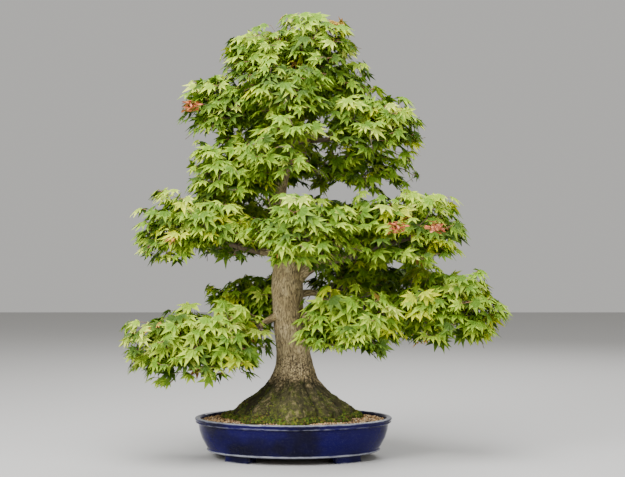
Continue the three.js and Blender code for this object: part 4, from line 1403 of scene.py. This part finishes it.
    def hangSeeds(self):  # a cluster from the foremost bud near each of its places
        ends = [(self.joints[bud], outward) for bud, _, outward, last in self.buds if last]
        for place in seedClusters.get(self.name, []):
            costs = [np.linalg.norm(fromFront(end)[0] - place) + 0.35 * end[1] for end, _ in ends]
            start, outward = ends[int(np.argmin(costs))]
            self.seeds.append((start, start + unit(outward + seedSize["hang"]) * seedSize["forward"]))

    def nearSeeds(self, points):  # or before them, as seen from the front
        for _, middle in self.seeds:
            beside = np.linalg.norm((points - middle)[:, [0, 2]], axis=1)
            if ((beside < seedSize["room"]) & (points[:, 1] < middle[1] + seedSize["room"])).any():
                return True
        return False

    # Painted light and shade: sprays near the top and outside of a mass take the lighter lime and cream
    # tints, and those within take the darker green and deep ones.
    def tintOf(self, point):  # lighter towards the outside and the top of its mass
        height = (point[2] - self.middle[2]) / self.half[2]
        out = farness(point)[0, self.index]
        light = np.clip(0.5 * out + 0.35 * height + 0.2 + self.random.normal(0, 0.22), 0, 1)
        chances = {
            "lime": 0.15 + 0.5 * light,
            "fresh": 0.6,
            "green": 0.9 - 0.6 * light,
            "deep": 1.1 * (1 - light) ** 1.5,
            "cream": 0.35 * light ** 2,
            "yellow": 0.04 * light,
            "bronze": 0.01,
        }
        for tint, more in massTints.get(self.name, {}).items():
            chances[tint] += more
        weights = np.array([chances[tint] for tint in tintNames])
        return self.random.choice(len(tintNames), p=weights / weights.sum())

    def leafOut(self):  # a pair of leaves at each bud, and one onwards at each end
        for bud, way, outward, last in self.buds:
            heading = unit(unit(way * growth["level"]) + outward * growth["outward"])
            aside = unit(np.cross(up, heading))
            tint = self.tintOf(self.joints[bud])
            if last:
                self.leafFrom(bud, heading, outward, 1.0, tint)
            upward = 0 if last or self.random.random() < 0.5 else growth["upright"]
            for sign in (-1, 1):
                if self.random.random() < growth["fallen"]:
                    continue
                onward = heading * self.random.uniform(*growth["onward"])
                towards = unit(aside * sign + onward + up * sign * upward)
                same = self.random.random() < growth["sameTint"]
                mixed = tint if same else self.tintOf(self.joints[bud])
                self.leafFrom(bud, towards, outward, growth["pairSize"], mixed)

    def radii(self):  # a joint is as thick as the twigs it carries ask
        load = np.zeros(len(self.joints))
        for i in range(len(self.joints) - 1, -1, -1):
            load[i] = max(load[i], 1)
            if self.parents[i] is not None:
                load[self.parents[i]] += load[i]
        share = (load / load[0]) ** 0.5
        start = load[0] ** -0.5
        return growth["tip"] + (self.mass["thin"] * 0.98 - growth["tip"]) * (share - start) / (1 - start)

    def chains(self):  # the twigs as runs of joints, each begun at the joint that it leaves
        heirs = {}
        for i in range(1, len(self.joints)):
            heirs.setdefault(self.parents[i], []).append(i)
        radii = self.radii()
        made = []
        starts = [(0, None)]
        while starts:
            at, parent = starts.pop()
            run = [at] if parent is None else [parent, at]
            while heirs.get(run[-1]):
                following = sorted(heirs[run[-1]], key=lambda i: -radii[i])
                starts.extend((other, run[-1]) for other in following[1:])
                run.append(following[0])
            thick = radii[run].copy()
            if parent is not None:
                thick[0] = min(thick[0], thick[1] * 1.15)
            made.append((np.array(self.joints)[run], thick))
        return made


def shifted(faces, first):  # faces whose points begin at a later place
    return [[corner + first for corner in face] for face in faces]


def tubeMesh(chains, sides):  # every chain as a tapering tube with closed ends
    points, faces = [], []
    first = 0
    for path, radii in chains:
        if len(path) < 2:
            continue
        points.append((path[:, None] + spokesAlong(path, sides) * radii[:, None, None]).reshape(-1, 3))
        faces += shifted(ringFaces(len(path), sides), first)
        first += len(path) * sides
    return np.concatenate(points), faces


def makeTwigs(shoot):
    points, faces = tubeMesh(shoot.chains(), growth["twigSides"])
    thickness = np.array(leafSize["petioleEnds"]) * leafSize["petioleRadius"]
    petioles = [(np.array(ends), thickness) for ends in shoot.petioles]
    stalks, stalkFaces = tubeMesh(petioles, growth["stalkSides"])
    kinds = [0 if len(face) == 4 else 1 for face in faces] + [2] * len(stalkFaces)  # twigs end in green
    faces += shifted(stalkFaces, len(points))
    addPiece("twigs_" + shoot.name, np.concatenate([points, stalks]), faces, woodTints,
             ["foliage_" + shoot.name], finishOf=kinds)


def makeSeeds(shoot):  # pairs of winged seeds on stalks
    random = np.random.default_rng(seedSize["random"])
    shape = np.concatenate([seedWing, seedWing * [-1, 1, 1]]) * seedSize["wing"]  # a pair of wings
    half = len(seedWing)
    points, faces, tints, stalks = [], [], [], []
    for start, middle in shoot.seeds:
        for _ in range(seedSize["seeds"]):
            way = unit(random.normal(0, 1, 3))
            end = middle + way * seedSize["spread"] * random.uniform(0.4, 1)
            turn = random.uniform(0, 2 * math.pi)
            along = unit(np.array([math.cos(turn), math.sin(turn), random.uniform(-0.5, 0.5)]))
            across = unit(np.cross(unit(way + [0, 0, 0.6]), along))
            corners = np.arange(len(shape)) + len(shape) * len(points)
            points.append(end + shape @ np.array([along, across, np.cross(along, across)]))
            faces += [corners[:half].tolist(), corners[half:][::-1].tolist()]
            tints += [random.integers(len(seedColours))] * 2
            stalks.append((np.array([start, end]), np.full(2, seedSize["stalk"])))
    stalkPoints, stalkFaces = tubeMesh(stalks, growth["stalkSides"])
    faces += shifted(stalkFaces, len(shape) * len(points))
    tints += [len(seedColours) - 1] * len(stalkFaces)
    addPiece("seeds_" + shoot.name, np.concatenate([*points, stalkPoints]), faces, seedTints,
             ["foliage_" + shoot.name], smooth=False, finishOf=tints)


def makeLeaves(shoot):
    points, faces, tints = [], [], []
    first = 0
    for heart, turned, tint, kind in shoot.leaves:
        shape, shapeFaces, bodyFaces = leafShapes[kind]
        points.append(heart + shape @ turned)
        faces.append(shapeFaces + first)
        tints.append(np.repeat([2 * tint, 2 * tint + 1], [bodyFaces, len(shapeFaces) - bodyFaces]))
        first += len(shape)
    addPiece("leaves_" + shoot.name, np.concatenate(points), np.concatenate(faces), leafTints,
             ["foliage_" + shoot.name], smooth=False, finishOf=np.concatenate(tints))
    return len(shoot.leaves)


leafTotal = 0
for i, name in enumerate(masses):
    shoot = Shoot(name, growth["seed"] + i)
    shoot.growStem(boughPaths[name])
    for spot in shoot.spots():
        shoot.growTwig(*spot)
    shoot.hangSeeds()
    shoot.leafOut()
    makeTwigs(shoot)
    if shoot.seeds:
        makeSeeds(shoot)
    leafTotal += makeLeaves(shoot)
print("leaves:", leafTotal)
